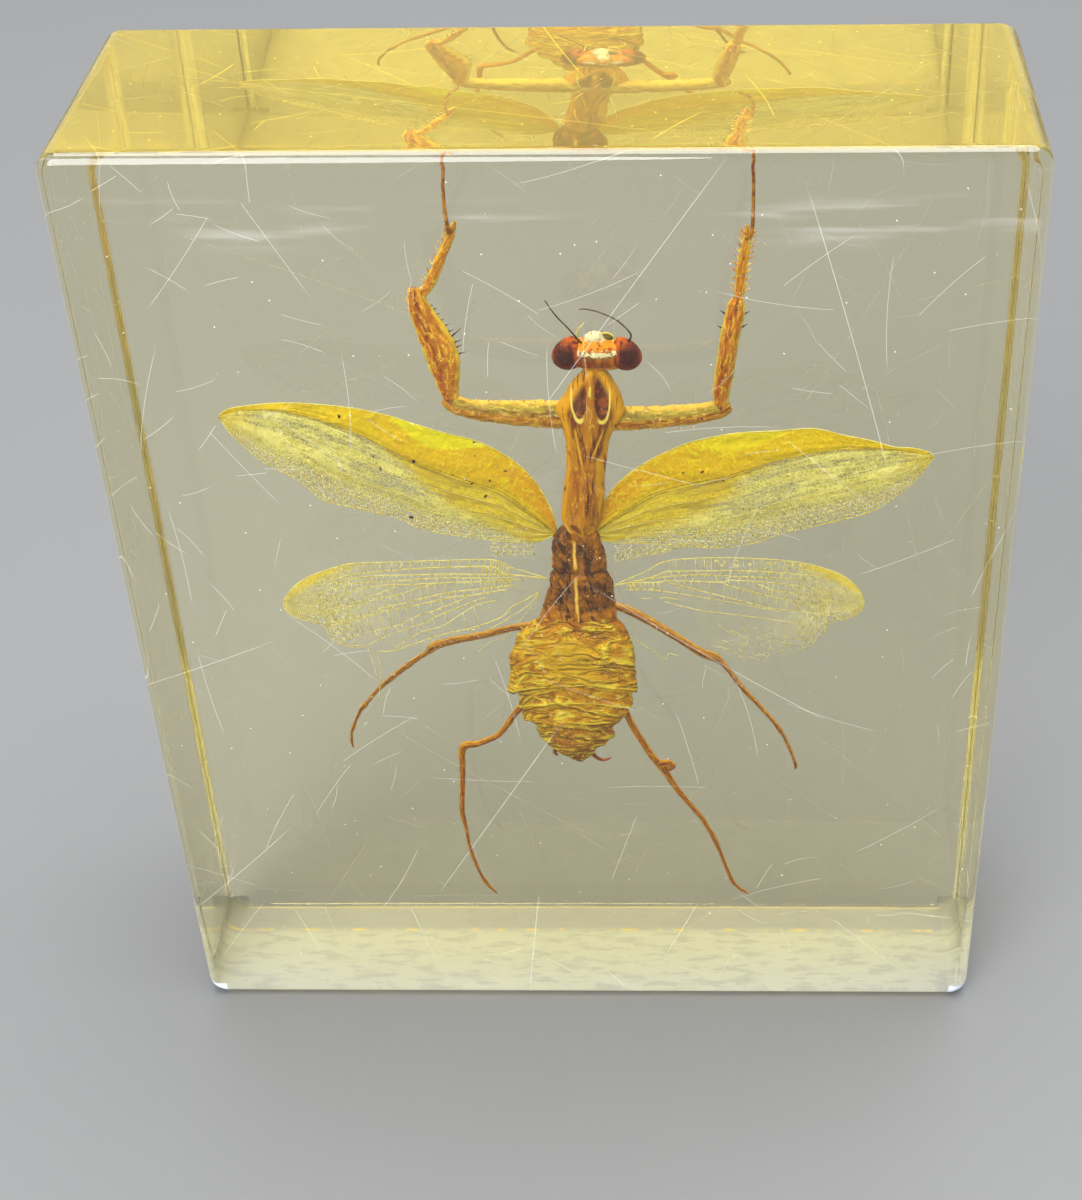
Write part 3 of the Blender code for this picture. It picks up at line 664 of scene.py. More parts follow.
@dataclass(frozen=True)
class HeadFinish:
    """Red-brown skull, a cream shine across its crown and a granular orange face."""

    brown: Colour = srgb(150, 66, 6)
    rust: Colour = srgb(202, 112, 10)
    olive: Colour = srgb(160, 122, 34)
    orange: Colour = srgb(250, 168, 16)
    red: Colour = srgb(206, 76, 6)
    shine: Colour = srgb(255, 252, 225)

    def make(self) -> bpy.types.Material:
        """Build the material."""
        graph = Graph("head_chitin")
        place = graph.place()
        x, _, z = graph.split(place)
        x, z = x - 0.35, z - HEAD_LIFT
        grain = graph.noise(place, 1.7, 4.0, rough=0.65)
        coarse = graph.noise(place, 1.0, 3.0, rough=0.6)
        width = abs(x - 3.75)
        crown = abs(z - 90.6 - (grain - 0.5) * 1.7 - width * 0.10).fade(0.34, 0.16)
        crown = crown * (width + (grain - 0.5)).fade(2.5, 2.1)
        face = (z + (grain - 0.5) * 1.4).fade(90.75, 91.0)
        dome = (z + (grain - 0.5) * 0.9).fade(91.95, 92.3) * abs(x - 3.5).fade(1.3, 1.0)
        stripes = graph.noise(graph.join(x * 1.4, 0.0, z * 0.2), 1.4, 3.0)
        middle = abs(x - 3.85).fade(0.24, 0.08)
        granules = Value(graph, graph.cells(place, 2.2).outputs["Distance"])
        below = z.fade(89.6, 90.4) * width.fade(2.6, 1.6)
        colour = graph.paint(
            self.brown, (stripes.fade(0.45, 0.58) * 0.8, self.rust),
            (below * 0.8, self.olive), (below * stripes.fade(0.52, 0.44) * 0.6, self.brown),
            (middle * 0.5, self.olive), (z.fade(89.0, 88.7) * 0.9, self.orange),
            (face, self.orange), (face * coarse.fade(0.50, 0.42) * 0.85, self.red),
            # painted highlights in the shine colour: sparkles on the face's granules, the band across
            # the crown and the dome
            (face * granules.fade(0.32, 0.18) * grain.fade(0.47, 0.54), self.shine),
            (crown * grain.fade(0.38, 0.44), self.shine), (dome * 0.95, self.shine),
            (dome * granules.fade(0.34, 0.22) * coarse.fade(0.54, 0.46), self.red))
        return graph.skin(colour, 0.3, grain, 0.0003)


@dataclass(frozen=True)
class EyeFinish:
    """Dark red-brown faceted eye, crackled orange towards the crown."""

    dark: Colour = srgb(62, 6, 1)
    red: Colour = srgb(120, 28, 2)
    orange: Colour = srgb(238, 116, 6)
    centre_x: float = 3.97
    core_x: float = 3.35  # how far each eye's dark core lies from the middle
    core_z: float = 91.0

    def make(self) -> bpy.types.Material:
        """Build the material."""
        graph = Graph("eye_chitin")
        place = graph.place()
        x, _, z = graph.split(place)
        out = abs(x - self.centre_x)
        right, up = (out - self.core_x) / 1.15, (z - self.core_z) / 1.35
        grain = graph.noise(place, 1.3, 5.0, rough=0.6) - 0.5
        reach = right * right + up * up + grain * 0.9
        core = reach.fade(1.3, 0.4)
        glow = (z.fade(91.3, 92.9) * out.fade(4.6, 2.6) * 0.8 + out.fade(2.7, 1.9))
        glow = glow * grain.fade(-0.12, 0.02)
        rim = out.fade(4.6, 4.85).most(z.fade(89.3, 88.95)) * 0.45
        facets = Value(graph, graph.cells(place, 7.0).outputs["Distance"])
        glints = Value(graph, graph.cells(place, 1.9).outputs["Distance"]).fade(0.14, 0.06)
        colour = graph.paint(self.red, (core * 0.95, self.dark), (glow.least(0.9), self.orange),
                             (glints * 0.55, self.orange), (rim, self.orange))
        return graph.skin(colour, 0.22, facets, 0.0001)


@dataclass(frozen=True)
class ForewingFinish:
    """Parchment forewing: an opaque yellow leading field and a cream, wrinkled rear field."""

    yellow: Colour = srgb(246, 214, 0)
    bright: Colour = srgb(255, 250, 20)
    ochre: Colour = srgb(232, 152, 0)
    olive: Colour = srgb(170, 146, 4)
    cream: Colour = srgb(232, 226, 124)
    glow: Colour = srgb(250, 246, 170)
    shade: Colour = srgb(172, 162, 74)
    bright_at: float = 0.445
    bright_share: float = 0.9

    def make(self) -> bpy.types.Material:
        """Build the material."""
        graph = Graph("forewing_membrane")
        place = graph.place()
        along, across, _ = graph.split(graph.unwrapped("wing"))
        warp = graph.noise(place, 0.25, 3.0) - 0.5
        edge = across + warp * 0.05
        leading = edge.fade(0.52, 0.47)
        root = (0.57 - (across - 0.5) * 0.95 - along + warp * 0.2).fade(-0.03, 0.10)
        solid = leading.most(root * 0.8)
        cross = graph.noise(graph.join(along * 66, across * 7, 0.0), 1.0, 2.0, warp=1.6)
        lines = abs(cross - 0.5).fade(0.07, 0.0) * along.fade(0.62, 0.45)
        reach = (along - self.bright_at) / 0.13
        patch = (1 - reach * reach) * 0.26 - edge + (cross - 0.5) * 0.12 + warp * 0.1
        patch = patch.fade(0.0, 0.05) * self.bright_share
        basal = along.fade(0.30, 0.02) * edge.fade(0.50, 0.15)
        yellow = graph.paint(
            self.yellow, (along.fade(0.42, 0.12) * edge.fade(0.48, 0.2) * 0.4, self.ochre),
            (basal * 0.6, self.ochre), (lines * 0.4, self.ochre),
            (cross.fade(0.54, 0.66) * 0.5, self.bright), (patch, self.bright),
            (abs(edge - 0.44).fade(0.06, 0.0) * 0.3, self.olive))
        streaks = graph.noise(graph.join(along * 4.5 + across * 1.5, across * 20, 0.0), 1.0, 4.0,
                              rough=0.62, warp=0.9)
        ridges = abs(streaks - 0.53).fade(0.035, 0.0)
        furrows = streaks.fade(0.48, 0.39)
        net = Value(graph, graph.cells(place, 1.9, "DISTANCE_TO_EDGE").outputs["Distance"])
        meshes = net.fade(0.16, 0.05)
        clots = graph.noise(place, 0.4, 4.0, rough=0.65).fade(0.52, 0.60)
        rear = graph.paint(
            self.cream, (furrows * 0.7, self.shade), (meshes * 0.8, self.glow),
            (ridges * 0.9, self.glow), (clots * 0.7, self.glow),
            (root * 0.85, self.yellow), (root * ridges * 0.7, self.bright),
            (root * furrows * 0.5, self.olive), (along.fade(0.86, 0.97) * 0.5, self.yellow))
        open_edge = (edge + (streaks - 0.5) * 0.25).fade(0.80, 0.92)
        thin = 0.36 + streaks.fade(0.42, 0.60) * 0.34 + ridges * 0.25 + clots * 0.2
        thin = thin + meshes * 0.22 - furrows * 0.10 + along.fade(0.45, 0.80) * 0.2
        thin = thin * (1 - open_edge * 0.85)
        alpha = (solid * 0.97).most(thin.most(along.fade(0.90, 0.98) * 0.8))
        colour = graph.mix(leading, rear, yellow)
        relief = graph.noise(place, 1.1, 2.0)
        return graph.skin(colour, 0.5, relief, 0.0004, alpha.least(1.0))


@dataclass(frozen=True)
class HindwingFinish:
    """Clear film, clouded yellow along the leading edge towards the tip."""

    film: Colour = srgb(245, 242, 200)
    tip: Colour = srgb(246, 226, 70)
    dots: Colour = srgb(250, 244, 170)
    dotted: float = 0.0

    def make(self) -> bpy.types.Material:
        """Build the material."""
        graph = Graph("hindwing_membrane")
        place = graph.place()
        along, across, _ = graph.split(graph.unwrapped("wing"))
        grain = graph.noise(place, 1.4, 4.0) - 0.5
        cloud = (along * 0.9 - 0.52 - across + grain * 0.12).fade(0.0, 0.16)
        cloud = cloud.most(along.fade(0.955, 0.985))
        spots = Value(graph, graph.cells(place, 1.5).outputs["Distance"]).fade(0.40, 0.26)
        dots = spots * abs(along - 0.55 + grain * 0.2).fade(0.22, 0.14)
        dots = dots * abs(across - 0.06).fade(0.06, 0.04) * self.dotted
        colour = graph.paint(self.film, (cloud, self.tip), (dots, self.dots))
        haze = (along + grain * 0.15).fade(0.50, 0.95) * across.fade(0.95, 0.7)
        alpha = (cloud * 0.55 + haze * 0.42 + 0.04).most(dots * 0.8)
        return graph.skin(colour, 0.4, alpha=alpha)


@dataclass(frozen=True)
class PlainFinish:
    """A thin part with small changes of tone along it."""

    name: str
    base: Colour
    other: Colour
    scale: float = 1.2
    roughness: float = 0.45

    def make(self) -> bpy.types.Material:
        """Build the material."""
        graph = Graph(self.name)
        tone = graph.noise(graph.place(), self.scale, 3.0)
        colour = graph.mix(tone.fade(0.40, 0.62), self.base, self.other)
        return graph.skin(colour, self.roughness)


def clear() -> None:
    """Leave edit mode and deselect everything."""
    if bpy.context.object is not None and bpy.context.object.mode != "OBJECT":
        bpy.ops.object.mode_set(mode="OBJECT")
    bpy.ops.object.select_all(action="DESELECT")


def take(piece: Piece) -> None:
    """Make one piece the selected and active one."""
    clear()
    piece.select_set(True)
    bpy.context.view_layer.objects.active = piece


def settle(piece: Piece) -> None:
    """Put the piece's place, turn and size into its mesh."""
    take(piece)
    bpy.ops.object.transform_apply(location=True, rotation=True, scale=True)


def edit(piece: Piece) -> None:
    """Open one piece in edit mode."""
    take(piece)
    bpy.ops.object.mode_set(mode="EDIT")


def seal(doubles: float = 0.0) -> None:
    """Merge the open piece's doubles within a distance in metres, and face it outwards."""
    bpy.ops.mesh.select_all(action="SELECT")
    if doubles:
        bpy.ops.mesh.remove_doubles(threshold=doubles)
    bpy.ops.mesh.normals_make_consistent(inside=False)
    clear()


def named(name: str) -> Piece:
    """Name the active object and its data."""
    piece = bpy.context.object
    piece.name = name
    piece.data.name = name
    return piece


def modify(piece: Piece, kind: str, **settings) -> None:
    """Add a modifier and apply it."""
    take(piece)
    modifier = piece.modifiers.new(kind.title(), kind)
    for key, value in settings.items():
        setattr(modifier, key, value)
    bpy.ops.object.modifier_apply(modifier=modifier.name)


def rounded(piece: Piece, levels: int = 1) -> None:
    """Subdivide the piece smoothly."""
    modify(piece, "SUBSURF", levels=levels, render_levels=levels)
    bpy.ops.object.shade_smooth()


def join(name: str, pieces: Sequence[Piece]) -> Piece:
    """Join pieces into one."""
    clear()
    for piece in pieces:
        piece.select_set(True)
    bpy.context.view_layer.objects.active = pieces[0]
    if len(pieces) > 1:
        bpy.ops.object.join()
    return named(name)


def loft(name: str, rings: Sequence["Ring"], sides: int) -> Piece:
    """Extrude a filled circle from ring to ring.

    Args:
        name: The piece's name.
        rings: The sections that it passes through.
        sides: The number of sides of its section.

    Returns:
        The closed piece.
    """
    clear()
    first = rings[0]
    bpy.ops.mesh.primitive_circle_add(
        vertices=sides, radius=1.0, fill_type="NGON", location=first.centre)
    piece = named(name)
    bpy.ops.object.mode_set(mode="EDIT")
    bpy.ops.transform.resize(value=(first.across * MM, first.deep * MM, 1.0),
                             center_override=first.centre)
    turn(first.heading, first.centre)
    for before, after in zip(rings, rings[1:]):
        bpy.ops.mesh.extrude_region_move(
            TRANSFORM_OT_translate={"value": after.centre - before.centre})
        turn(-before.heading, after.centre)
        bpy.ops.transform.resize(value=(after.across / before.across,
                                        after.deep / before.deep, 1.0),
                                 center_override=after.centre)
        turn(after.heading, after.centre)
    seal()
    settle(piece)
    return piece


def turn(angle: float, centre: Vector) -> None:
    """Turn what is selected about the Y axis, from Z towards X.

    With no window the operator turns the other way, so the angle is negated.
    """
    bpy.ops.transform.rotate(value=-angle, orient_axis="Y", center_override=centre)


def ball(name: str, centre: Point, half: Point, segments: int = 32, rings: int = 20) -> Piece:
    """Add a ball with three half sizes, in mm."""
    clear()
    bpy.ops.mesh.primitive_uv_sphere_add(
        segments=segments, ring_count=rings, radius=1.0,
        location=[value * MM for value in centre], scale=[value * MM for value in half])
    piece = named(name)
    settle(piece)
    bpy.ops.object.shade_smooth()
    return piece


def spike(sides: int = 6) -> Piece:
    """Model a spike that stands on the origin, one metre wide and one metre high."""
    clear()
    bpy.ops.mesh.primitive_cone_add(vertices=sides, radius1=0.5, radius2=0.07, depth=1.0,
                                    location=(0.0, 0.0, 0.5))
    piece = named("spike")
    bpy.ops.object.mode_set(mode="EDIT")
    bpy.ops.mesh.bevel(offset=0.05, segments=1, affect="EDGES")
    settle(piece)
    return piece


def fleck() -> Piece:
    """Model a flat, uneven fleck around the origin, two metres wide."""
    clear()
    bpy.ops.mesh.primitive_ico_sphere_add(subdivisions=2, radius=1.0)
    piece = named("fleck")
    bpy.ops.object.mode_set(mode="EDIT")
    bpy.ops.transform.resize(value=(1.0, 0.25, 0.7))
    settle(piece)
    for vertex in piece.data.vertices:
        vertex.co *= 1 + 0.35 * noise.noise(vertex.co * 1.8)
    return piece


def copies(name: str, model: Piece, places: Iterable[Matrix]) -> Piece:
    """Copy a model to every place, each copy with its own mesh, and join the copies.

    Args:
        name: The joined piece's name.
        model: The piece that is copied and then removed.
        places: Where the copies go.

    Returns:
        The joined piece.
    """
    made = []
    for place in places:
        take(model)
        bpy.ops.object.duplicate(linked=False)
        bpy.context.object.matrix_world = place
        made.append(bpy.context.object)
    take(model)
    bpy.ops.object.delete()
    piece = join(name, made)
    settle(piece)
    return piece


def standing(root: Vector, tip: Vector, width: float) -> Matrix:
    """Give the place that stands a spike between two points; all in mm."""
    along = tip - root
    scale = Matrix.Diagonal((width * MM, width * MM, along.length * MM, 1.0))
    return Matrix.Translation(root * MM) @ along.to_track_quat("Z", "Y").to_matrix().to_4x4() @ scale


def threads(name: str, lines: Iterable[Sequence[Point]], sides: int = 4) -> Piece:
    """Turn lines into round threads.

    Args:
        name: The piece's name.
        lines: Rows of points as x, y, z and radius, in mm.
        sides: The number of sides of a thread.

    Returns:
        All the threads as one mesh of closed tubes.
    """
    clear()
    bpy.ops.curve.primitive_nurbs_path_add()
    piece = named(name)
    data = piece.data
    data.splines.clear()
    data.bevel_depth = 1.0
    data.bevel_resolution = (sides - 4) // 2
    data.use_fill_caps = True
    for line in lines:
        spline = data.splines.new("POLY")
        spline.points.add(len(line) - 1)
        for point, (x, y, z, radius) in zip(spline.points, line):
            point.co = (x * MM, y * MM, z * MM, 1.0)
            point.radius = radius * MM
    bpy.context.object.location = (0.0, 0.0, 0.0)
    bpy.ops.object.convert(target="MESH")
    piece = bpy.context.object
    edit(piece)
    seal(MM * 0.001)
    return piece


def shape(piece: Piece, move: Callable[[Vector, Vector], Vector]) -> None:
    """Move every vertex, as sculpting does.

    Args:
        piece: The piece.
        move: Gives a vertex's new place from its place and its normal, in mm.
    """
    mesh = piece.data
    places = [vertex.co / MM for vertex in mesh.vertices]
    normals = [vertex.normal.copy() for vertex in mesh.vertices]
    for vertex, place, normal in zip(mesh.vertices, places, normals):
        vertex.co = move(place, normal) * MM
    mesh.update()


def store(piece: Piece, name: str, level: Callable[[Vector], float]) -> None:
    """Store a number on every vertex, worked out from its place in mm."""
    layer = piece.data.attributes.new(name, "FLOAT", "POINT")
    for item, vertex in zip(layer.data, piece.data.vertices):
        item.value = level(vertex.co / MM)


def unwrap_limb(piece: Piece, path: Sequence[Point]) -> None:
    """Store how far across a limb each corner lies, 0 to 1, and how far along, in cm.

    Args:
        piece: The limb.
        path: Rows of x, y, z and half width, in mm.
    """
    spots = smooth_path(path, 6 * len(path))
    centres = [Vector(spot[:3]) for spot in spots]
    lengths = [0.0]
    for start, end in zip(centres, centres[1:]):
        lengths.append(lengths[-1] + (end - start).length)
    where = []
    for vertex in piece.data.vertices:
        place = vertex.co / MM
        k = min(range(len(centres)), key=lambda i: (centres[i] - place).length_squared)
        along = (centres[min(k + 1, len(centres) - 1)] - centres[max(k - 1, 0)]).normalized()
        offset = place - centres[k]
        across = offset.dot(along.cross(Vector((0, 1, 0)))) / max(spots[k][3], 0.05)
        where.append((0.5 + 0.5 * max(-1.0, min(1.0, across)), lengths[k] / 10))
    layer = piece.data.uv_layers.new(name="limb")
    for loop, item in zip(piece.data.loops, layer.data):
        item.uv = where[loop.vertex_index]


def hand_over(piece: Piece, finish: bpy.types.Material, nodes: Sequence[str]) -> None:
    """Dress a finished piece, hang it under the root and hide the frame's parts that it stands for."""
    piece.data.materials.clear()
    piece.data.materials.append(finish)
    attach(piece, "root")
    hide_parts(*nodes)
    LOG.info("%s: %d faces", piece.name, len(piece.data.polygons))


@dataclass(frozen=True)
class Ring:
    """One section of a form: its centre and half sizes in mm, and the way it faces."""

    x: float
    y: float
    z: float
    across: float
    deep: float
    heading: float = 0.0

    @property
    def centre(self) -> Vector:
        """The centre in metres."""
        return Vector((self.x, self.y, self.z)) * MM


def rings_along(path: Sequence[Point], count: int) -> list[Ring]:
    """Place rings square to a smooth path.

    Args:
        path: Rows of x, y, z, half width and half depth, in mm.
        count: How many rings to place.

    Returns:
        The rings.
    """
    spots = smooth_path(path, count)
    rings = []
    for i, (x, y, z, across, deep) in enumerate(spots):
        before, after = spots[max(i - 1, 0)], spots[min(i + 1, count - 1)]
        heading = atan2(after[0] - before[0], after[2] - before[2])
        rings.append(Ring(x, y, z, across, deep, heading))
    return rings


@dataclass
class Studio:
    """The floor, the lights and the camera."""

    camera_place: Point = (0.01666, -0.20437, 0.20881)
    pitch: float = 38.33
    yaw: float = 1.83
    roll: float = -1.16
    lens: float = 63.0
    shift: Point = (-0.0992, 0.0338)
    floor_drop: float = 0.00015
    floor_radius: float = 6.0
    floor_colour: Colour = (0.155, 0.157, 0.160)
    sky: Colour = (0.96, 0.98, 1.0)
    sky_strength: float = 0.62
    lamps: tuple[tuple[str, Point, float, float], ...] = (
        ("key_light", (-0.45, -0.95, 0.75), 1.0, 24.0),
        ("top_light", (0.1, 0.1, 1.2), 1.2, 27.0),
    )

    def build(self) -> None:
        """Build all of it."""
        bpy.context.scene.view_settings.view_transform = "Standard"
        bpy.context.scene.cycles.diffuse_bounces = 1
        self.add_camera()
        self.add_floor()
        self.add_lights()

    def add_camera(self) -> None:
        """Add the camera at the photograph's place and angle."""
        bpy.ops.object.camera_add(location=self.camera_place)
        camera = bpy.context.object
        camera.name = "camera"
        turned = (Matrix.Rotation(radians(self.yaw), 4, "Z")
                  @ Matrix.Rotation(radians(90 - self.pitch), 4, "X")
                  @ Matrix.Rotation(radians(self.roll), 4, "Z"))
        camera.rotation_euler = turned.to_euler()
        camera.data.lens = self.lens
        camera.data.sensor_width = 36.0
        camera.data.shift_x, camera.data.shift_y = self.shift
        camera.data.clip_start = 0.01
        bpy.context.scene.camera = camera

    def add_floor(self) -> None:
        """Add the pale floor."""
        clear()
        bpy.ops.mesh.primitive_circle_add(vertices=96, radius=self.floor_radius, fill_type="NGON",
                                          location=(0, 0, -self.floor_drop))
        floor = named("floor")
        settle(floor)
        graph = Graph("pale_floor")
        tone = graph.noise(graph.place(), 0.03, 4.0)
        pale = tuple(level * 0.97 for level in self.floor_colour)
        floor.data.materials.append(graph.finish(graph.principled({
            "Base Color": graph.mix(tone, pale, self.floor_colour), "Roughness": 0.6})))

    def add_lights(self) -> None:
        """Add an even sky and two large soft lamps."""
        world = bpy.data.worlds.new("soft_sky")
        world.use_nodes = True
        background = world.node_tree.nodes["Background"]
        background.inputs["Color"].default_value = (*self.sky, 1.0)
        background.inputs["Strength"].default_value = self.sky_strength
        bpy.context.scene.world = world
        for lamp in self.lamps:
            self.add_lamp(*lamp)

    @staticmethod
    def add_lamp(name: str, place: Point, size: float, power: float) -> None:
        """Add one soft lamp that faces the block."""
        bpy.ops.object.light_add(type="AREA", location=place)
        lamp = bpy.context.object
        lamp.name = name
        lamp.data.shape = "DISK"
        lamp.data.size = size
        lamp.data.energy = power
        aim = BLOCK_MIDDLE - Vector(place)
        lamp.rotation_euler = aim.to_track_quat("-Z", "Y").to_euler()


@dataclass
class ResinBlock:
    """The block of resin, one clear solid."""

    width: float = 0.100
    depth: float = 0.032
    height: float = 0.120
    corner_radius: float = 0.0024
    front_edge: float = 0.0015
    back_edge: float = 0.0010
    segments: int = 6

    def build(self) -> None:
        """Model and dress the block."""
        clear()
        bpy.ops.mesh.primitive_cube_add(size=1.0, location=(0, 0, self.height / 2),
                                        scale=(self.width, self.depth, self.height))
        piece = named("resin_block")
        settle(piece)
        self.bevel(piece, self.corner_radius,
                   lambda a, b: abs(a.y - b.y) > self.depth / 2)
        self.bevel(piece, self.front_edge,
                   lambda a, b: max(a.y, b.y) < -self.depth / 2 + MM * 0.001)
        self.bevel(piece, self.back_edge,
                   lambda a, b: min(a.y, b.y) > self.depth / 2 - MM * 0.001)
        bpy.ops.object.shade_smooth()
        modify(piece, "WEIGHTED_NORMAL", weight=100)
        hand_over(piece, ResinFinish().make(), ("resin_front", "resin_back"))

    def bevel(self, piece: Piece, radius: float, wanted: Callable[[Vector, Vector], bool]) -> None:
        """Round the edges whose ends pass a test."""
        edit(piece)
        bpy.ops.mesh.select_mode(type="EDGE")
        bpy.ops.mesh.select_all(action="DESELECT")
        cage = bmesh.from_edit_mesh(piece.data)
        for edge in cage.edges:
            edge.select_set(wanted(edge.verts[0].co, edge.verts[1].co))
        bmesh.update_edit_mesh(piece.data)
        bpy.ops.mesh.bevel(offset=radius, segments=self.segments, affect="EDGES")
        take(piece)


def add_insect(piece: Piece, finish: bpy.types.Material) -> None:
    """Dress a piece of the insect, hang it under the root and hide the frame's mantis."""
    hand_over(piece, finish, ("mantis",))


@dataclass
class Head:
    """The head with its eyes, mouth parts and antennae, modelled low and lifted into place."""

    capsule: tuple[Point, ...] = (
        (0.2, 3.7, 90.3, 1.2, 1.0), (1.2, 3.7, 90.3, 1.75, 1.5), (2.4, 3.6, 90.3, 1.9, 1.7),
        (3.9, 3.5, 90.3, 1.95, 1.8), (5.4, 3.6, 90.2, 1.9, 1.7), (6.6, 3.7, 90.1, 1.75, 1.5),
        (7.6, 3.7, 90.1, 1.2, 1.0),
    )
    lumps: tuple[tuple[str, Point, Point], ...] = (
        ("face", (3.6, 3.4, 91.3), (2.05, 1.35, 1.1)),
        ("dome", (3.4, 3.5, 92.25), (1.15, 0.95, 0.85)),
        ("lip", (3.7, 4.7, 91.2), (1.1, 1.1, 1.4)),
    )
    neck: tuple[Point, ...] = (
        (3.3, 3.9, 89.4, 1.5, 1.2), (3.2, 3.9, 88.3, 1.2, 1.1), (3.2, 3.8, 87.2, 1.3, 1.2),
    )
    eye_half: Point = (1.66, 1.55, 2.1)
    eyes: tuple[tuple[str, Point, float], ...] = (
        ("left_eye", (0.85, 3.3, 91.0), 0.36), ("right_eye", (7.1, 3.3, 90.9), -0.36),
    )
    antennae: tuple[tuple[Point, ...], ...] = (
        ((2.1, 3.0, 91.3, 0.13), (1.25, 2.6, 92.5, 0.11), (0.4, 2.3, 93.8, 0.09),
         (-0.95, 2.2, 95.5, 0.08), (-2.0, 2.2, 97.3, 0.06)),
        ((6.6, 3.0, 91.4, 0.13), (7.15, 2.6, 92.7, 0.11), (6.94, 2.4, 93.4, 0.10),
         (6.4, 2.3, 94.1, 0.09), (5.6, 2.2, 94.9, 0.09), (4.3, 2.2, 95.6, 0.08),
         (3.3, 2.2, 96.0, 0.08), (2.2, 2.3, 96.2, 0.08), (1.6, 2.4, 96.1, 0.06)),
    )
    palps: tuple[tuple[Point, ...], ...] = (
        ((1.25, 3.2, 92.4, 0.10), (1.3, 2.9, 92.8, 0.11), (1.5, 2.7, 93.6, 0.11),
         (2.2, 2.6, 94.4, 0.07)),
        ((3.9, 3.0, 92.9, 0.10), (4.5, 2.8, 93.15, 0.10), (5.1, 2.8, 92.85, 0.09),
         (5.45, 3.0, 92.3, 0.08), (5.5, 3.2, 91.9, 0.07)),
    )
    hollow: Point = (4.75, 3.6, 92.25)  # the middle of the dark hollow under the right palp

    def build(self) -> None:
        """Model and dress the head."""
        chitin = HeadFinish().make()
        self.build_capsule(chitin)
        self.build_eyes()
        dark = PlainFinish("antenna_chitin", srgb(64, 48, 24), srgb(104, 80, 40)).make()
        lines = [smooth_path(line, 40) for line in self.antennae]
        self.lift(threads("antennae", lines, 8), dark, 0.65)
        pale = PlainFinish("palp_chitin", srgb(255, 244, 170), srgb(250, 228, 120)).make()
        lines = [smooth_path(line, 14) for line in self.palps]
        self.lift(threads("palps", lines, 8), pale, 0.6)

    @staticmethod
    def lift(piece: Piece, finish: bpy.types.Material, right: float) -> None:
        """Move a finished piece to the right and up, in mm, and dress it."""
        shape(piece, lambda place, normal: place + Vector((right, 0.0, HEAD_LIFT)))
        add_insect(piece, finish)

    def build_capsule(self, chitin: bpy.types.Material) -> None:
        """Model the skull between the eyes, the face, the dome above it and the neck."""
        skull = loft("skull", rings_along(self.capsule, 14), 20)
        balls = [ball(*lump) for lump in self.lumps]
        neck = loft("neck", rings_along(self.neck, 7), 16)
        piece = join("head", [skull, *balls, neck])
        modify(piece, "REMESH", mode="VOXEL", voxel_size=0.0001)
        bpy.ops.object.shade_smooth()
        shape(piece, self.carve)
        self.lift(piece, chitin, 0.35)
        hollow = ball("brow_hollow", self.hollow, (0.72, 0.5, 0.72), 20, 14)
        shape(hollow, lambda place, normal: place + normal * noise.noise(place * 2) * 0.05)
        olive = PlainFinish("hollow_chitin", srgb(150, 138, 50), srgb(104, 84, 26)).make()
        self.lift(hollow, olive, 0.35)

    @staticmethod
    def carve(place: Vector, normal: Vector) -> Vector:
        """Wrinkle the skull and cut the grooves across its crown."""
        rough = noise.noise(place * 1.7) * 0.07 + noise.noise(place * 4.5) * 0.03
        grooves = sum(-0.10 * exp(-((place.x - x) / 0.16) ** 2) for x in (1.7, 3.4, 4.3, 5.8))
        return place + normal * (rough + (grooves if place.z < 90.2 else 0.0))

    def build_eyes(self) -> None:
        """Model both eyes as egg shapes that lean outwards."""
        made = []
        for name, centre, lean in self.eyes:
            eye = ball(name, centre, self.eye_half, 48, 32)
            middle = Vector(centre)
            turned = Matrix.Rotation(lean, 3, "Y")
            shape(eye, lambda place, normal: middle + turned @ self.egg(place - middle))
            made.append(eye)
        add_insect(join("eyes", made), EyeFinish().make())

    @staticmethod
    def egg(offset: Vector) -> Vector:
        """Draw the eye in towards the back of the head."""
        narrow = 1 - 0.10 * offset.z
        return Vector((offset.x * narrow, offset.y * narrow, offset.z))


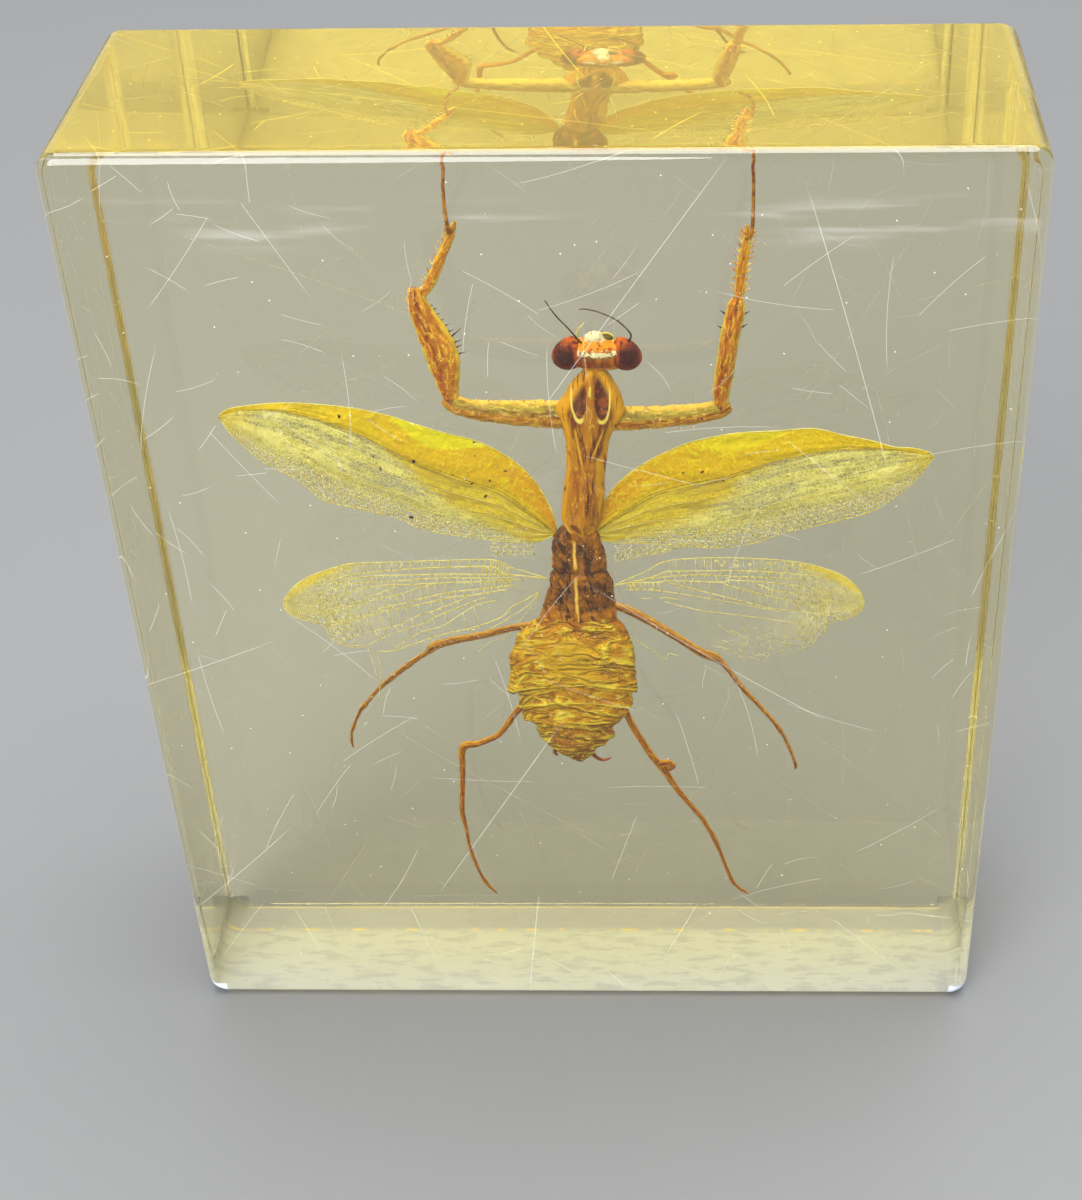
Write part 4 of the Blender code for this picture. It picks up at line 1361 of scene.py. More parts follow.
@dataclass
class Pronotum:
    """The long shield behind the head."""

    depth: float = 3.8
    levels: tuple[Point, ...] = (
        (88.4, 2.2, 4.3, 0.8), (87.9, 1.5, 4.8, 1.3), (86.7, 0.6, 5.5, 1.7),
        (85.2, -0.3, 6.1, 1.9), (83.7, -1.2, 6.45, 2.0), (82.8, -1.2, 6.5, 2.0),
        (81.1, -0.7, 5.5, 1.9), (79.7, -0.4, 4.9, 1.8), (76.5, -0.3, 4.3, 1.8),
        (72.4, -0.8, 4.0, 1.9), (69.3, -1.2, 3.45, 1.9), (67.6, -0.5, 2.8, 1.5),
        (66.9, 0.3, 2.1, 1.0), (66.6, 0.9, 1.6, 0.5),
    )
    wide_rim: float = 1.35
    narrow_rim: float = 0.55
    hollows: tuple[float, float] = (1.45, 3.95)

    def edges(self, height: float) -> tuple[float, float]:
        """Read both edges of the shield at a height."""
        for (top, left, right, _), (low, next_left, next_right, _) in zip(self.levels,
                                                                         self.levels[1:]):
            if low <= height <= top:
                share = (top - height) / (top - low)
                return left + (next_left - left) * share, right + (next_right - right) * share
        return 0.0, 3.0

    def build(self) -> None:
        """Model and dress the shield."""
        path = [((left + right) / 2, self.depth, z, (right - left) / 2, deep)
                for z, left, right, deep in self.levels]
        rings = [Ring(x, y, z, across, deep) for x, y, z, across, deep in smooth_path(path, 70)]
        piece = loft("pronotum", rings, 40)
        rounded(piece)
        shape(piece, self.carve)
        store(piece, "rim", self.rim)
        shape(piece, lambda place, normal: self.lean(place))
        add_insect(piece, PronotumFinish().make())

    @staticmethod
    def lean(place: Vector) -> Vector:
        """Lean the finished shield to the right and stretch it upwards, most at the head."""
        share = (place.z - 68) / 20
        return place + Vector((0.2 + 0.25 * share, 0.0, 0.4 * share))

    def rim(self, place: Vector) -> float:
        """Say how much a place belongs to the bright rim."""
        left, right = self.edges(place.z)
        share = max(0.0, min(1.0, (place.z - 77.5) / 5))
        width = self.narrow_rim + (self.wide_rim - self.narrow_rim) * share
        inside = min(place.x - left, right - place.x) / width
        return max(0.0, min(1.0, 2.2 - 1.9 * inside))

    def carve(self, place: Vector, normal: Vector) -> Vector:
        """Press the almond hollows in, raise the ridge and the collar, and wrinkle the skin."""
        depth = noise.noise(Vector((place.x * 0.9, 0.0, place.z * 0.35))) * 0.18
        depth += noise.noise(place * 2.4) * 0.06
        if place.y < self.depth:
            for middle in self.hollows:
                reach = ((place.x - middle) / 0.95) ** 2 + ((place.z - 85.2) / 2.8) ** 2
                depth -= 0.45 * max(0.0, 1 - reach)
            share = max(0.0, min(1.0, (place.z - 76) / 6))
            depth += 0.3 * exp(-((place.x - 2.4 - 0.3 * share) / 0.45) ** 2) * share
            reach = ((place.x - 1.45) / 2.1) ** 2 + ((place.z - 69.4) / 2.6) ** 2
            depth += 0.2 * exp(-((reach - 1) / 0.25) ** 2) * (place.z < 69.4)
        return place + normal * depth


@dataclass
class Trunk:
    """The thorax and the abdomen."""

    depth: float = 4.2
    thorax: tuple[Point, ...] = (
        (67.6, -0.8, 2.6, 1.3), (66.6, -1.9, 3.3, 1.7), (65.0, -2.25, 3.8, 2.0),
        (63.0, -2.15, 4.25, 2.15), (61.6, -2.1, 4.3, 2.2), (60.6, -2.7, 4.35, 2.3),
        (58.6, -3.0, 4.9, 2.4), (56.6, -3.4, 4.9, 2.4), (54.6, -4.1, 5.0, 2.3),
    )
    abdomen: tuple[Point, ...] = (
        (56.4, -1.8, 3.2, 1.2), (55.6, -3.2, 4.6, 1.9), (54.6, -4.4, 5.2, 2.3),
        (53.2, -5.8, 5.95, 2.4), (51.8, -6.95, 6.5, 2.5), (50.2, -7.6, 7.0, 2.6),
        (48.4, -8.25, 7.3, 2.6), (48.1, -8.0, 7.15, 2.6), (46.5, -8.25, 7.3, 2.6),
        (45.0, -8.4, 7.3, 2.55), (43.3, -8.5, 7.15, 2.5), (43.0, -7.6, 6.7, 2.4),
        (41.6, -7.3, 6.7, 2.3), (40.0, -7.35, 6.2, 2.2), (38.8, -6.95, 5.6, 2.0),
        (38.4, -6.4, 5.1, 1.9), (37.9, -5.1, 4.4, 1.8), (36.8, -5.5, 4.25, 1.7),
        (35.8, -4.9, 4.25, 1.6), (34.6, -3.9, 3.2, 1.4), (34.3, -3.6, 2.6, 1.25),
        (33.4, -3.0, 1.95, 1.0), (32.5, -1.9, 1.2, 0.8), (31.9, -0.9, 0.6, 0.5),
        (31.6, -0.5, 0.3, 0.3),
    )
    plates: tuple[tuple[float, float], ...] = (
        (52.6, 0.10), (49.0, 0.08), (45.0, 0.34), (42.1, 0.26), (40.2, 0.16), (38.3, 0.34),
        (35.9, 0.25), (34.3, 0.2),
    )
    cerci: tuple[tuple[Point, ...], ...] = (
        ((-2.4, 4.3, 34.4, 0.34), (-3.3, 4.4, 33.2, 0.28), (-3.0, 4.5, 32.6, 0.14)),
        ((0.9, 4.3, 33.9, 0.34), (1.8, 4.4, 32.4, 0.26), (2.6, 4.5, 31.8, 0.22),
         (3.3, 4.5, 31.9, 0.16), (3.8, 4.5, 32.2, 0.08)),
    )

    def build(self) -> None:
        """Model and dress the thorax, the abdomen and the cerci."""
        self.build_thorax()
        self.build_abdomen()
        brown = PlainFinish("cercus_chitin", srgb(170, 84, 10), srgb(110, 48, 8)).make()
        lines = [smooth_path(line, 12) for line in self.cerci]
        add_insect(threads("cerci", lines, 10), brown)

    def rings(self, levels: Sequence[Point], count: int) -> list[Ring]:
        """Place level rings between straight edges that join the given levels."""
        rings, k = [], 0
        for i in range(count):
            z = levels[0][0] + (levels[-1][0] - levels[0][0]) * i / (count - 1)
            while k < len(levels) - 2 and levels[k + 1][0] > z:
                k += 1
            upper, lower = Vector(levels[k]), Vector(levels[k + 1])
            share = min(max((upper[0] - z) / (upper[0] - lower[0]), 0.0), 1.0)
            _, left, right, deep = upper.lerp(lower, share)
            rings.append(Ring((left + right) / 2, self.depth, z, (right - left) / 2, deep))
        return rings

    def build_thorax(self) -> None:
        """Model the thorax with its ridge and sunken muscles."""
        piece = loft("thorax", self.rings(self.thorax, 56), 48)
        rounded(piece)
        shape(piece, lambda place, normal: place + normal * self.thorax_relief(place))
        store(piece, "relief", lambda place: 0.5 + 1.2 * self.thorax_relief(place))
        add_insect(piece, ThoraxFinish().make())

    @staticmethod
    def thorax_relief(place: Vector) -> float:
        """Give the height of the thorax's skin, in mm."""
        ridge = 0.25 * exp(-((place.x - 0.5) / 0.28) ** 2)
        lumps = noise.noise(Vector((place.x * 0.8, place.y * 0.6, place.z * 0.5))) * 0.38
        folds = abs(noise.noise(Vector((place.x * 1.3, place.y, place.z * 0.7)))) * -0.35
        fine = noise.noise(place * 2.4) * 0.14
        waist = -0.16 * exp(-((place.z - 61.5) / 0.35) ** 2)
        return ridge + lumps + folds + fine + waist + 0.08

    def build_abdomen(self) -> None:
        """Model the shrivelled abdomen with its overlapping plates."""
        piece = loft("abdomen", self.rings(self.abdomen, 130), 80)
        rounded(piece)
        shape(piece, lambda place, normal: place + normal * self.abdomen_relief(place))
        store(piece, "relief", lambda place: 0.5 + 0.9 * self.abdomen_relief(place))
        add_insect(piece, AbdomenFinish().make())

    def abdomen_relief(self, place: Vector) -> float:
        """Give the height of the abdomen's skin, in mm."""
        sway = noise.noise(Vector((place.x * 0.3, 0.0, 7.0))) * 0.6
        height = place.z + 0.03 * (place.x + 0.6) ** 2 + sway
        step = 0.0
        for plate, rise in self.plates:
            above = height - plate
            if 0 <= above < 2.0:
                step = max(step, rise * (1 - above / 2.0))
        broad = abs(noise.noise(Vector((place.x * 0.16, place.y * 0.2, height * 0.5)))) * -0.55
        tight = abs(noise.noise(Vector((place.x * 0.4, place.y * 0.4, height * 0.9 + 31)))) * -0.34
        fine = noise.noise(Vector((place.x * 1.2, place.y * 1.2, place.z * 2.0))) * 0.05
        calm = 1 - 0.7 * exp(-((place.x + 0.4) / 2.2) ** 2) * (43.5 < place.z < 52.0)
        return step - 0.05 + (broad + tight + fine + 0.16) * calm


@dataclass
class GrippingLeg:
    """A front leg: coxa, femur, tibia with teeth, and tarsus."""

    side: Side
    coxa: tuple[Point, ...]
    femur: tuple[Point, ...]
    tibia: tuple[Point, ...]
    tarsus: tuple[Point, ...]
    spines: tuple[tuple[Point, Point], ...]
    coxa_spines: tuple[Point, ...]
    teeth_sides: tuple[int, ...]
    depth: float = 4.6
    teeth: int = 12
    tooth_length: float = 0.68
    tooth_width: float = 0.34
    spine_width: float = 0.27
    coxa_edges: tuple[tuple[Point, Point, float], ...] = (
        ((0.0, -0.3, -0.3), (-0.12, -0.4, 0.4), 0.28),
        ((0.5, -0.5, -2.6), (0.6, -0.6, -3.0), 0.30),
    )

    def build(self) -> None:
        """Model and dress the leg."""
        name = self.side.value
        upper = -1.0 if self.side is Side.LEFT else 1.0
        self.build_limb(f"{name}_coxa", self.coxa, LimbFinish(
            f"{name}_coxa_chitin", edge=srgb(246, 206, 84), core=srgb(206, 132, 14),
            streak=srgb(140, 70, 4), streak_place=-0.15 * upper, streak_width=0.3, glints=0.14,
            side=srgb(176, 164, 62), side_place=-0.1, side_share=0.92), flipped=upper < 0)
        self.build_limb(f"{name}_femur", self.femur, LimbFinish(f"{name}_femur_chitin"))
        self.build_limb(f"{name}_tibia", self.tibia, LimbFinish(
            f"{name}_tibia_chitin", core=srgb(232, 150, 12), streak_place=0.0, side_share=0.5))
        amber = PlainFinish(f"{name}_tarsus_chitin", srgb(214, 144, 18), srgb(156, 92, 8)).make()
        add_insect(threads(f"{name}_tarsus", [smooth_path(self.tarsus, 60)], 8), amber)
        self.build_spines()
        self.build_teeth()

    def build_limb(self, name: str, joints: Sequence[Point], finish: LimbFinish,
                   flipped: bool = False) -> None:
        """Model one segment.

        Args:
            name: The piece's name.
            joints: Rows of x, z, half width and half depth, in mm.
            finish: Its finish.
            flipped: Whether the finish's long side lies on the other side.
        """
        path = [(x, self.depth, z, across, deep) for x, z, across, deep in joints]
        piece = loft(name, rings_along(path, 9 * len(path)), 24)
        rounded(piece)
        shape(piece, lambda place, normal: place + normal * (
            noise.noise(place * 1.1) * 0.12 - abs(noise.noise(place * 2.1)) * 0.10
            + noise.noise(place * 3.6) * 0.05))
        track = [spot[:4] for spot in path]
        unwrap_limb(piece, track[::-1] if flipped else track)
        add_insect(piece, finish.make())

    def build_spines(self) -> None:
        """Model the dark spines of the femur and the pale ones along both edges of the coxa."""
        name = self.side.value
        places = [
            standing(Vector((root_x, self.depth, root_z)),
                     Vector((tip_x, self.depth - 0.15, tip_z)), self.spine_width)
            for (root_x, root_z), (tip_x, tip_z) in self.spines]
        dark = PlainFinish(f"{name}_spine_chitin", srgb(34, 14, 4), srgb(90, 40, 8)).make()
        add_insect(copies(f"{name}_femur_spines", spike(), places), dark)
        places = []
        for root, tip, width in self.coxa_edges:
            for x, z in self.coxa_spines:
                spot = Vector((x, self.depth, z))
                places.append(standing(spot + Vector(root), spot + Vector(tip), width))
        pale = PlainFinish(f"{name}_coxa_spine_chitin", srgb(255, 246, 200), srgb(250, 214, 100))
        add_insect(copies(f"{name}_coxa_spines", spike(), places), pale.make())

    def build_teeth(self) -> None:
        """Model the comb of teeth along the tibia."""
        spots = smooth_path(self.tibia[1:-1], self.teeth)
        places = []
        for side in self.teeth_sides:
            for k, (x, z, across, _) in enumerate(spots):
                before, after = spots[max(k - 1, 0)], spots[min(k + 1, self.teeth - 1)]
                along = Vector((after[0] - before[0], 0, after[1] - before[1])).normalized()
                out = along.cross(Vector((0, 1, 0))) * side
                root = Vector((x, self.depth, z)) + out * across * 0.75
                tip = root + (out + along * 0.75) * self.tooth_length
                places.append(standing(root, tip, self.tooth_width))
        name = self.side.value
        horn = PlainFinish(f"{name}_tooth_chitin", srgb(255, 226, 130), srgb(222, 140, 20)).make()
        add_insect(copies(f"{name}_tibia_teeth", spike(), places), horn)


@dataclass
class WalkingLegs:
    """The four thin legs."""

    legs: dict[str, tuple[Point, ...]] = field(default_factory=lambda: {
        "left_mid_leg": (
            (-4.0, 4.4, 53.4, 0.55), (-7.5, 4.6, 52.7, 0.50), (-11.0, 4.6, 51.7, 0.50),
            (-14.5, 4.6, 50.9, 0.52), (-16.6, 4.5, 50.3, 0.60), (-17.4, 4.5, 49.9, 0.62),
            (-18.0, 4.6, 49.2, 0.46), (-18.8, 4.6, 48.6, 0.36), (-21.0, 4.6, 46.8, 0.40),
            (-23.2, 4.6, 44.8, 0.36), (-24.8, 4.6, 43.2, 0.30), (-26.2, 4.6, 41.4, 0.28),
            (-26.8, 4.6, 40.6, 0.38), (-27.3, 4.6, 39.9, 0.26), (-28.1, 4.6, 38.2, 0.22),
            (-28.5, 4.6, 37.2, 0.27), (-28.8, 4.6, 36.2, 0.20), (-28.9, 4.6, 35.3, 0.26),
            (-28.9, 4.6, 34.5, 0.18), (-28.8, 4.6, 33.9, 0.12)),
        "right_mid_leg": (
            (3.5, 4.4, 56.6, 0.60), (6.0, 4.6, 55.6, 0.60), (8.8, 4.6, 53.9, 0.60),
            (11.2, 4.6, 52.1, 0.56), (13.4, 4.6, 50.4, 0.54), (15.2, 4.5, 49.0, 0.60),
            (16.8, 4.5, 48.3, 0.68), (17.6, 4.6, 47.6, 0.44), (18.8, 4.6, 45.9, 0.36),
            (20.2, 4.6, 43.6, 0.36), (22.6, 4.6, 40.4, 0.32), (24.3, 4.6, 38.0, 0.28),
            (24.9, 4.6, 37.0, 0.36), (25.6, 4.6, 35.6, 0.24), (26.2, 4.6, 34.1, 0.28),
            (26.7, 4.6, 32.6, 0.20), (27.0, 4.6, 31.6, 0.26), (27.2, 4.6, 30.8, 0.22),
            (27.1, 4.6, 30.2, 0.12)),
        "left_hind_leg": (
            (-5.0, 4.4, 43.4, 0.50), (-6.4, 4.6, 41.4, 0.48), (-7.9, 4.6, 39.5, 0.46),
            (-9.2, 4.6, 37.4, 0.42), (-10.3, 4.6, 35.9, 0.40), (-11.6, 4.6, 35.1, 0.42),
            (-13.1, 4.6, 34.4, 0.46), (-14.5, 4.6, 34.2, 0.58), (-15.1, 4.6, 33.2, 0.48),
            (-15.2, 4.6, 31.0, 0.42), (-15.4, 4.6, 28.0, 0.40), (-15.7, 4.6, 24.8, 0.38),
            (-15.8, 4.6, 22.6, 0.36), (-15.5, 4.6, 20.2, 0.28), (-15.3, 4.6, 17.2, 0.26),
            (-14.9, 4.6, 14.8, 0.28), (-14.3, 4.6, 12.4, 0.24), (-13.7, 4.6, 10.7, 0.28),
            (-12.9, 4.6, 9.3, 0.24), (-12.2, 4.6, 8.4, 0.12)),
        "right_hind_leg": (
            (4.6, 4.4, 43.2, 0.48), (5.7, 4.6, 40.0, 0.46), (6.8, 4.6, 36.9, 0.46),
            (8.0, 4.6, 34.4, 0.46), (9.2, 4.6, 32.0, 0.48), (10.2, 4.5, 30.7, 0.60),
            (10.9, 4.6, 29.2, 0.48), (12.0, 4.6, 27.0, 0.42), (13.6, 4.6, 24.4, 0.36),
            (15.1, 4.6, 22.1, 0.34), (16.2, 4.6, 19.8, 0.32), (16.9, 4.6, 18.1, 0.34),
            (17.7, 4.6, 15.6, 0.26), (18.4, 4.6, 13.2, 0.26), (18.9, 4.6, 11.7, 0.30),
            (19.5, 4.6, 10.2, 0.26), (20.6, 4.6, 9.0, 0.24), (21.5, 4.6, 8.4, 0.12)),
    })
    knee_curl: tuple[Point, ...] = (
        (9.9, 4.3, 31.1, 0.50), (10.8, 4.1, 31.5, 0.54), (11.5, 4.0, 31.2, 0.44),
        (11.5, 4.1, 30.7, 0.34), (11.0, 4.3, 30.3, 0.30))

    def build(self) -> None:
        """Model and dress the four legs and the curl at the right hind knee."""
        finishes = {
            "mid": LimbFinish(
                "mid_leg_chitin", edge=srgb(220, 168, 60), core=srgb(156, 96, 8),
                streak=srgb(92, 48, 4), streak_place=-0.2, glint=srgb(255, 226, 205), glints=0.14,
                side=srgb(204, 142, 66)).make(),
            "hind": LimbFinish(
                "hind_leg_chitin", edge=srgb(232, 170, 24), core=srgb(174, 106, 6),
                streak=srgb(112, 56, 2), streak_width=0.3, glints=0.02,
                side=srgb(156, 88, 4)).make(),
        }
        for name, path in self.legs.items():
            piece = threads(name, [smooth_path(path, 7 * len(path))], 12)
            take(piece)
            bpy.ops.object.shade_smooth()
            shape(piece, lambda place, normal: place + normal * (
                noise.noise(place * 1.6) * 0.08 - abs(noise.noise(place * 3.0)) * 0.07))
            unwrap_limb(piece, path)
            add_insect(piece, finishes[name.split("_")[1]])
        curl = threads("knee_curl", [smooth_path(self.knee_curl, 20)], 10)
        unwrap_limb(curl, self.knee_curl)
        add_insect(curl, finishes["hind"])


def rippled(x: float, z: float, depth: float) -> float:
    """Give the y of a wing's film at x and z, in mm, around its mean depth."""
    return depth + noise.noise(Vector((x * 0.22, z * 0.5, depth))) * 0.22


@dataclass
class Wing:
    """A sheet between guide lines that all run from the hinge to the tip."""

    name: str
    guides: tuple[tuple[Point, ...], ...]
    depth: float
    camber: float = 0.35
    columns: int = 90
    rows: int = 28
    thickness: float = 0.04
    crimp: float = 0.0

    def __post_init__(self) -> None:
        """Read the guides at even lengths."""
        self.lines = [even_path(guide, 161) for guide in self.guides]

    def at(self, along: float, across: float) -> Vector:
        """Give the place in mm at a share along the wing and a share across it."""
        spot = max(0.0, min(1.0, along)) * (len(self.lines[0]) - 1)
        k = min(int(spot), len(self.lines[0]) - 2)
        rails = [Vector(line[k]).lerp(Vector(line[k + 1]), spot - k) for line in self.lines]
        lane = max(0.0, min(1.0, across)) * (len(rails) - 1)
        j = min(int(lane), len(rails) - 2)
        x, z = rails[j].lerp(rails[j + 1], lane - j)
        swell = self.camber * sin(pi * min(1.0, max(0.0, across))) * sin(pi * min(1.0, along))
        return Vector((x, rippled(x, z, self.depth) - swell * 0.5, z))

    def sheet(self) -> Piece:
        """Model the membrane from a grid."""
        clear()
        bpy.ops.mesh.primitive_grid_add(x_subdivisions=self.columns, y_subdivisions=self.rows,
                                        size=1.0, calc_uvs=True)
        piece = named(self.name)
        piece.data.uv_layers[0].name = "wing"
        for vertex in piece.data.vertices:
            along, across = vertex.co.x + 0.5, vertex.co.y + 0.5
            place = self.at(along, across)
            place.y += self.crimp * noise.noise(Vector((along * 9, across * 20, 0.0)))
            vertex.co = place * MM
        modify(piece, "SOLIDIFY", thickness=self.thickness * MM, offset=0.0)
        edit(piece)
        seal(MM * 0.002)
        take(piece)
        bpy.ops.object.shade_smooth()
        return piece

    def thread(self, spots: Sequence[Point], start: float, end: float, lift: float = 0.0,
               count: int = 0) -> list[Point]:
        """Draw a vein over the wing.

        Args:
            spots: Points of the vein as shares along and across the wing.
            start: Its radius at the first point, in mm.
            end: Its radius at the last point, in mm.
            lift: How far it stands in front of the sheet, in mm.
            count: How many points to read, or 0 for the spots as they are.

        Returns:
            Rows of x, y, z and radius, in mm.
        """
        read = smooth_path(spots, count) if count else spots
        line = []
        for i, (along, across) in enumerate(read):
            x, y, z = self.at(along, across)
            share = i / max(len(read) - 1, 1)
            line.append((x, y - lift, z, start + (end - start) * share))
        return line

    def net(self, rows: Sequence[float], reach: Callable[[float], tuple[float, float]],
            columns: int, radius: float, hexagonal: float, seed: int, keep: float = 1.0,
            jitter: float = 1.0) -> list[list[Point]]:
        """Draw a net of lengthwise threads joined by short cross threads.

        Args:
            rows: Where the lengthwise threads lie across the wing.
            reach: Gives the first and last share along the wing of a row.
            columns: How many cells a whole row has.
            radius: The threads' radius, in mm.
            hexagonal: 0 for a ladder and 1 for a honeycomb.
            seed: The seed of its irregularity.
            keep: The share of the threads that are still there.
            jitter: How far its knots are moved by chance.

        Returns:
            The threads.
        """
        random = Random(seed)
        gap = (rows[-1] - rows[0]) / max(len(rows) - 1, 1)
        table = []
        for r, across in enumerate(rows):
            low, high = reach(across)
            spots = []
            for c in range(columns + 1):
                along = c / columns
                if not low <= along <= high:
                    spots.append(None)
                    continue
                zig = hexagonal * gap * 0.22 * (1 if (c + r) % 2 else -1)
                spots.append((along + random.uniform(-0.28, 0.28) * jitter / columns,
                              across + zig + random.uniform(-0.12, 0.12) * gap * jitter))
            table.append(spots)
        lines = []
        for spots in table:
            run = []
            for spot in [*spots, None]:
                if spot is not None and random.random() < keep:
                    run.append(spot)
                    continue
                if len(run) > 1:
                    lines.append(self.thread(run, radius, radius))
                run = []
        for r, (upper, lower) in enumerate(zip(table, table[1:])):
            for c, (start, end) in enumerate(zip(upper, lower)):
                if (c + r) % 2 or start is None or end is None or random.random() > keep:
                    continue
                lines.append(self.thread([start, end], radius, radius))
        return lines


@dataclass
class Forewings:
    """The two parchment wings."""

    depth: float = 4.2
    main_veins: tuple[tuple[Point, ...], ...] = (
        ((0.02, 0.485), (0.3, 0.49), (0.7, 0.49), (0.93, 0.49)),
        ((0.02, 0.52), (0.3, 0.515), (0.7, 0.51), (0.9, 0.51)),
    )
    rear_veins: tuple[tuple[tuple[Point, ...], float], ...] = (
        (((0.03, 0.60), (0.3, 0.63), (0.65, 0.66), (0.97, 0.60)), 0.06),
        (((0.03, 0.70), (0.25, 0.76), (0.6, 0.80), (0.9, 0.78)), 0.06),
        (((0.03, 0.80), (0.2, 0.87), (0.45, 0.90), (0.8, 0.93)), 0.05),
    )
    vein: tuple[float, float] = (0.06, 0.03)
    margins: tuple[Point, ...] = ((0.0, 0.10, 0.07), (1.0, 0.05, 0.05))

    def build(self) -> None:
        """Model and dress both wings with their veins."""
        wings = (
            Wing("left_forewing", (
                ((-1.6, 66.6), (-1.7, 68.8), (-3.2, 72.9), (-5.6, 76.3), (-9.3, 79.0),
                 (-13.7, 80.5), (-20.6, 83.0), (-24.6, 83.9), (-30.7, 84.5), (-37.2, 83.9),
                 (-39.0, 82.7)),
                ((-1.6, 66.6), (-4.6, 69.6), (-7.4, 72.2), (-10.7, 73.7), (-17.5, 76.7),
                 (-23.9, 80.6), (-30.4, 83.2), (-35.9, 83.6), (-39.0, 82.7)),
                ((-1.6, 66.6), (-3.8, 65.5), (-6.2, 65.4), (-10.2, 65.9), (-16.7, 67.1),
                 (-20.1, 68.9), (-24.5, 70.2), (-28.4, 71.5), (-31.1, 74.3), (-34.8, 76.8),
                 (-37.7, 80.3), (-39.0, 82.7))), self.depth, crimp=0.16),
            Wing("right_forewing", (
                ((2.6, 66.6), (4.1, 71.1), (7.5, 75.2), (12.8, 78.5), (18.5, 80.1),
                 (24.5, 80.6), (28.4, 80.8), (31.7, 79.9), (34.7, 79.2), (37.2, 78.4),
                 (39.4, 78.2), (41.1, 77.7), (41.8, 77.1)),
                ((2.6, 66.6), (6.4, 69.6), (10.3, 72.3), (18.0, 74.5), (24.8, 76.8),
                 (30.5, 78.0), (36.8, 78.1), (41.8, 77.1)),
                ((2.6, 66.6), (4.5, 65.4), (9.9, 65.1), (14.7, 64.7), (18.0, 64.6),
                 (22.0, 65.4), (24.9, 66.6), (28.2, 67.5), (31.4, 68.4), (35.4, 69.9),
                 (39.1, 73.1), (40.4, 74.8), (41.8, 77.1))), self.depth, crimp=0.16),
        )
        olive = PlainFinish("forewing_vein", srgb(206, 176, 14), srgb(150, 122, 10)).make()
        cream = PlainFinish("forewing_margin", srgb(255, 248, 170), srgb(250, 232, 110)).make()
        for k, wing in enumerate(wings):
            finish = ForewingFinish(bright_at=0.445 + 0.06 * k, bright_share=0.9 - 0.4 * k).make()
            add_insect(wing.sheet(), finish)
            main = [wing.thread(spots, *self.vein, 0.05, 50) for spots in self.main_veins]
            add_insect(threads(f"{wing.name}_main_vein", main, 6), olive)
            fine = [wing.thread(spots, *self.vein, lift, 50) for spots, lift in self.rear_veins]
            for across, start, end in self.margins:
                fine.append(wing.thread([(i / 80, across) for i in range(1, 81)], start, end))
            fine += wing.net(
                [0.78 + 0.22 * i / 8 for i in range(9)], lambda across: (0.10, 0.985),
                columns=110, radius=0.055, hexagonal=1.0, seed=11 + k, keep=0.97)
            add_insect(threads(f"{wing.name}_rear_net", fine, 4), cream)


@dataclass(frozen=True)
class Ladder:
    """Cross bars between two long veins, from one x to another, in mm."""

    upper: str
    lower: str
    start: float
    end: float
    gap: float
    lean: float = 0.0
    radius: float = 0.05


@dataclass
class Hindwing:
    """A clear wing: its film, long veins, the bars between them and the dense net at its tip."""

    side: Side
    guides: tuple[tuple[Point, ...], ...]
    veins: dict[str, tuple[tuple[float, float], tuple[Point, ...]]]
    ladders: tuple[Ladder, ...]
    dotted: float
    net_from: float = 0.80
    depth: float = 4.45

    def build(self) -> None:
        """Model and dress the wing."""
        name = f"{self.side.value}_hindwing"
        wing = Wing(name, self.guides, self.depth, camber=0.0)
        add_insect(wing.sheet(), HindwingFinish(dotted=self.dotted).make())
        cream = PlainFinish(f"{name}_vein", srgb(252, 246, 184), srgb(238, 224, 136)).make()
        lines = [self.vein(radii, spots) for radii, spots in self.veins.values()]
        for k, ladder in enumerate(self.ladders):
            lines += self.bars(ladder, Random(40 + k))
        add_insect(threads(f"{name}_veins", lines, 6), cream)
        net = wing.net(
            [i / 26 for i in range(27)],
            lambda across: (self.net_from + 0.06 * sin(across * 9), 0.985),
            columns=130, radius=0.045, hexagonal=1.0, seed=51, keep=0.98)
        net += wing.net(
            [i / 15 for i in range(16)],
            lambda across: (self.net_from - 0.10, self.net_from + 0.04),
            columns=64, radius=0.05, hexagonal=0.8, seed=53, keep=0.96)
        add_insect(threads(f"{name}_tip_net", net, 4), cream)

    def vein(self, radii: tuple[float, float], spots: Sequence[Point]) -> list[Point]:
        """Draw one long vein that thins from its first radius to its last, in mm."""
        read = smooth_path(spots, 6 * len(spots))
        start, end = radii
        return [(x, rippled(x, z, self.depth), z, start + (end - start) * i / len(read))
                for i, (x, z) in enumerate(read)]

    def height(self, name: str, x: float) -> float | None:
        """Give a vein's z at an x, or None beyond its ends."""
        spots = self.veins[name][1]
        for (x0, z0), (x1, z1) in zip(spots, spots[1:]):
            if min(x0, x1) <= x <= max(x0, x1):
                return z0 + (z1 - z0) * (x - x0) / (x1 - x0)
        return None

    def bars(self, ladder: Ladder, random: Random) -> list[list[Point]]:
        """Draw a ladder's slightly crooked bars."""
        lines = []
        x = ladder.start
        step = copysign(ladder.gap, ladder.end - ladder.start)
        while (ladder.end - x) * step > 0:
            lean = ladder.lean * random.uniform(0.5, 1.5)
            top, low = self.height(ladder.upper, x), self.height(ladder.lower, x + lean)
            if top is not None and low is not None:
                middle = x + lean / 2 + random.uniform(-0.12, 0.12)
                spots = ((x, top), (middle, (top + low) / 2), (x + lean, low))
                lines.append([(a, rippled(a, b, self.depth), b, ladder.radius * 1.25)
                              for a, b in spots])
            x += step * random.uniform(0.7, 1.3)
        return lines


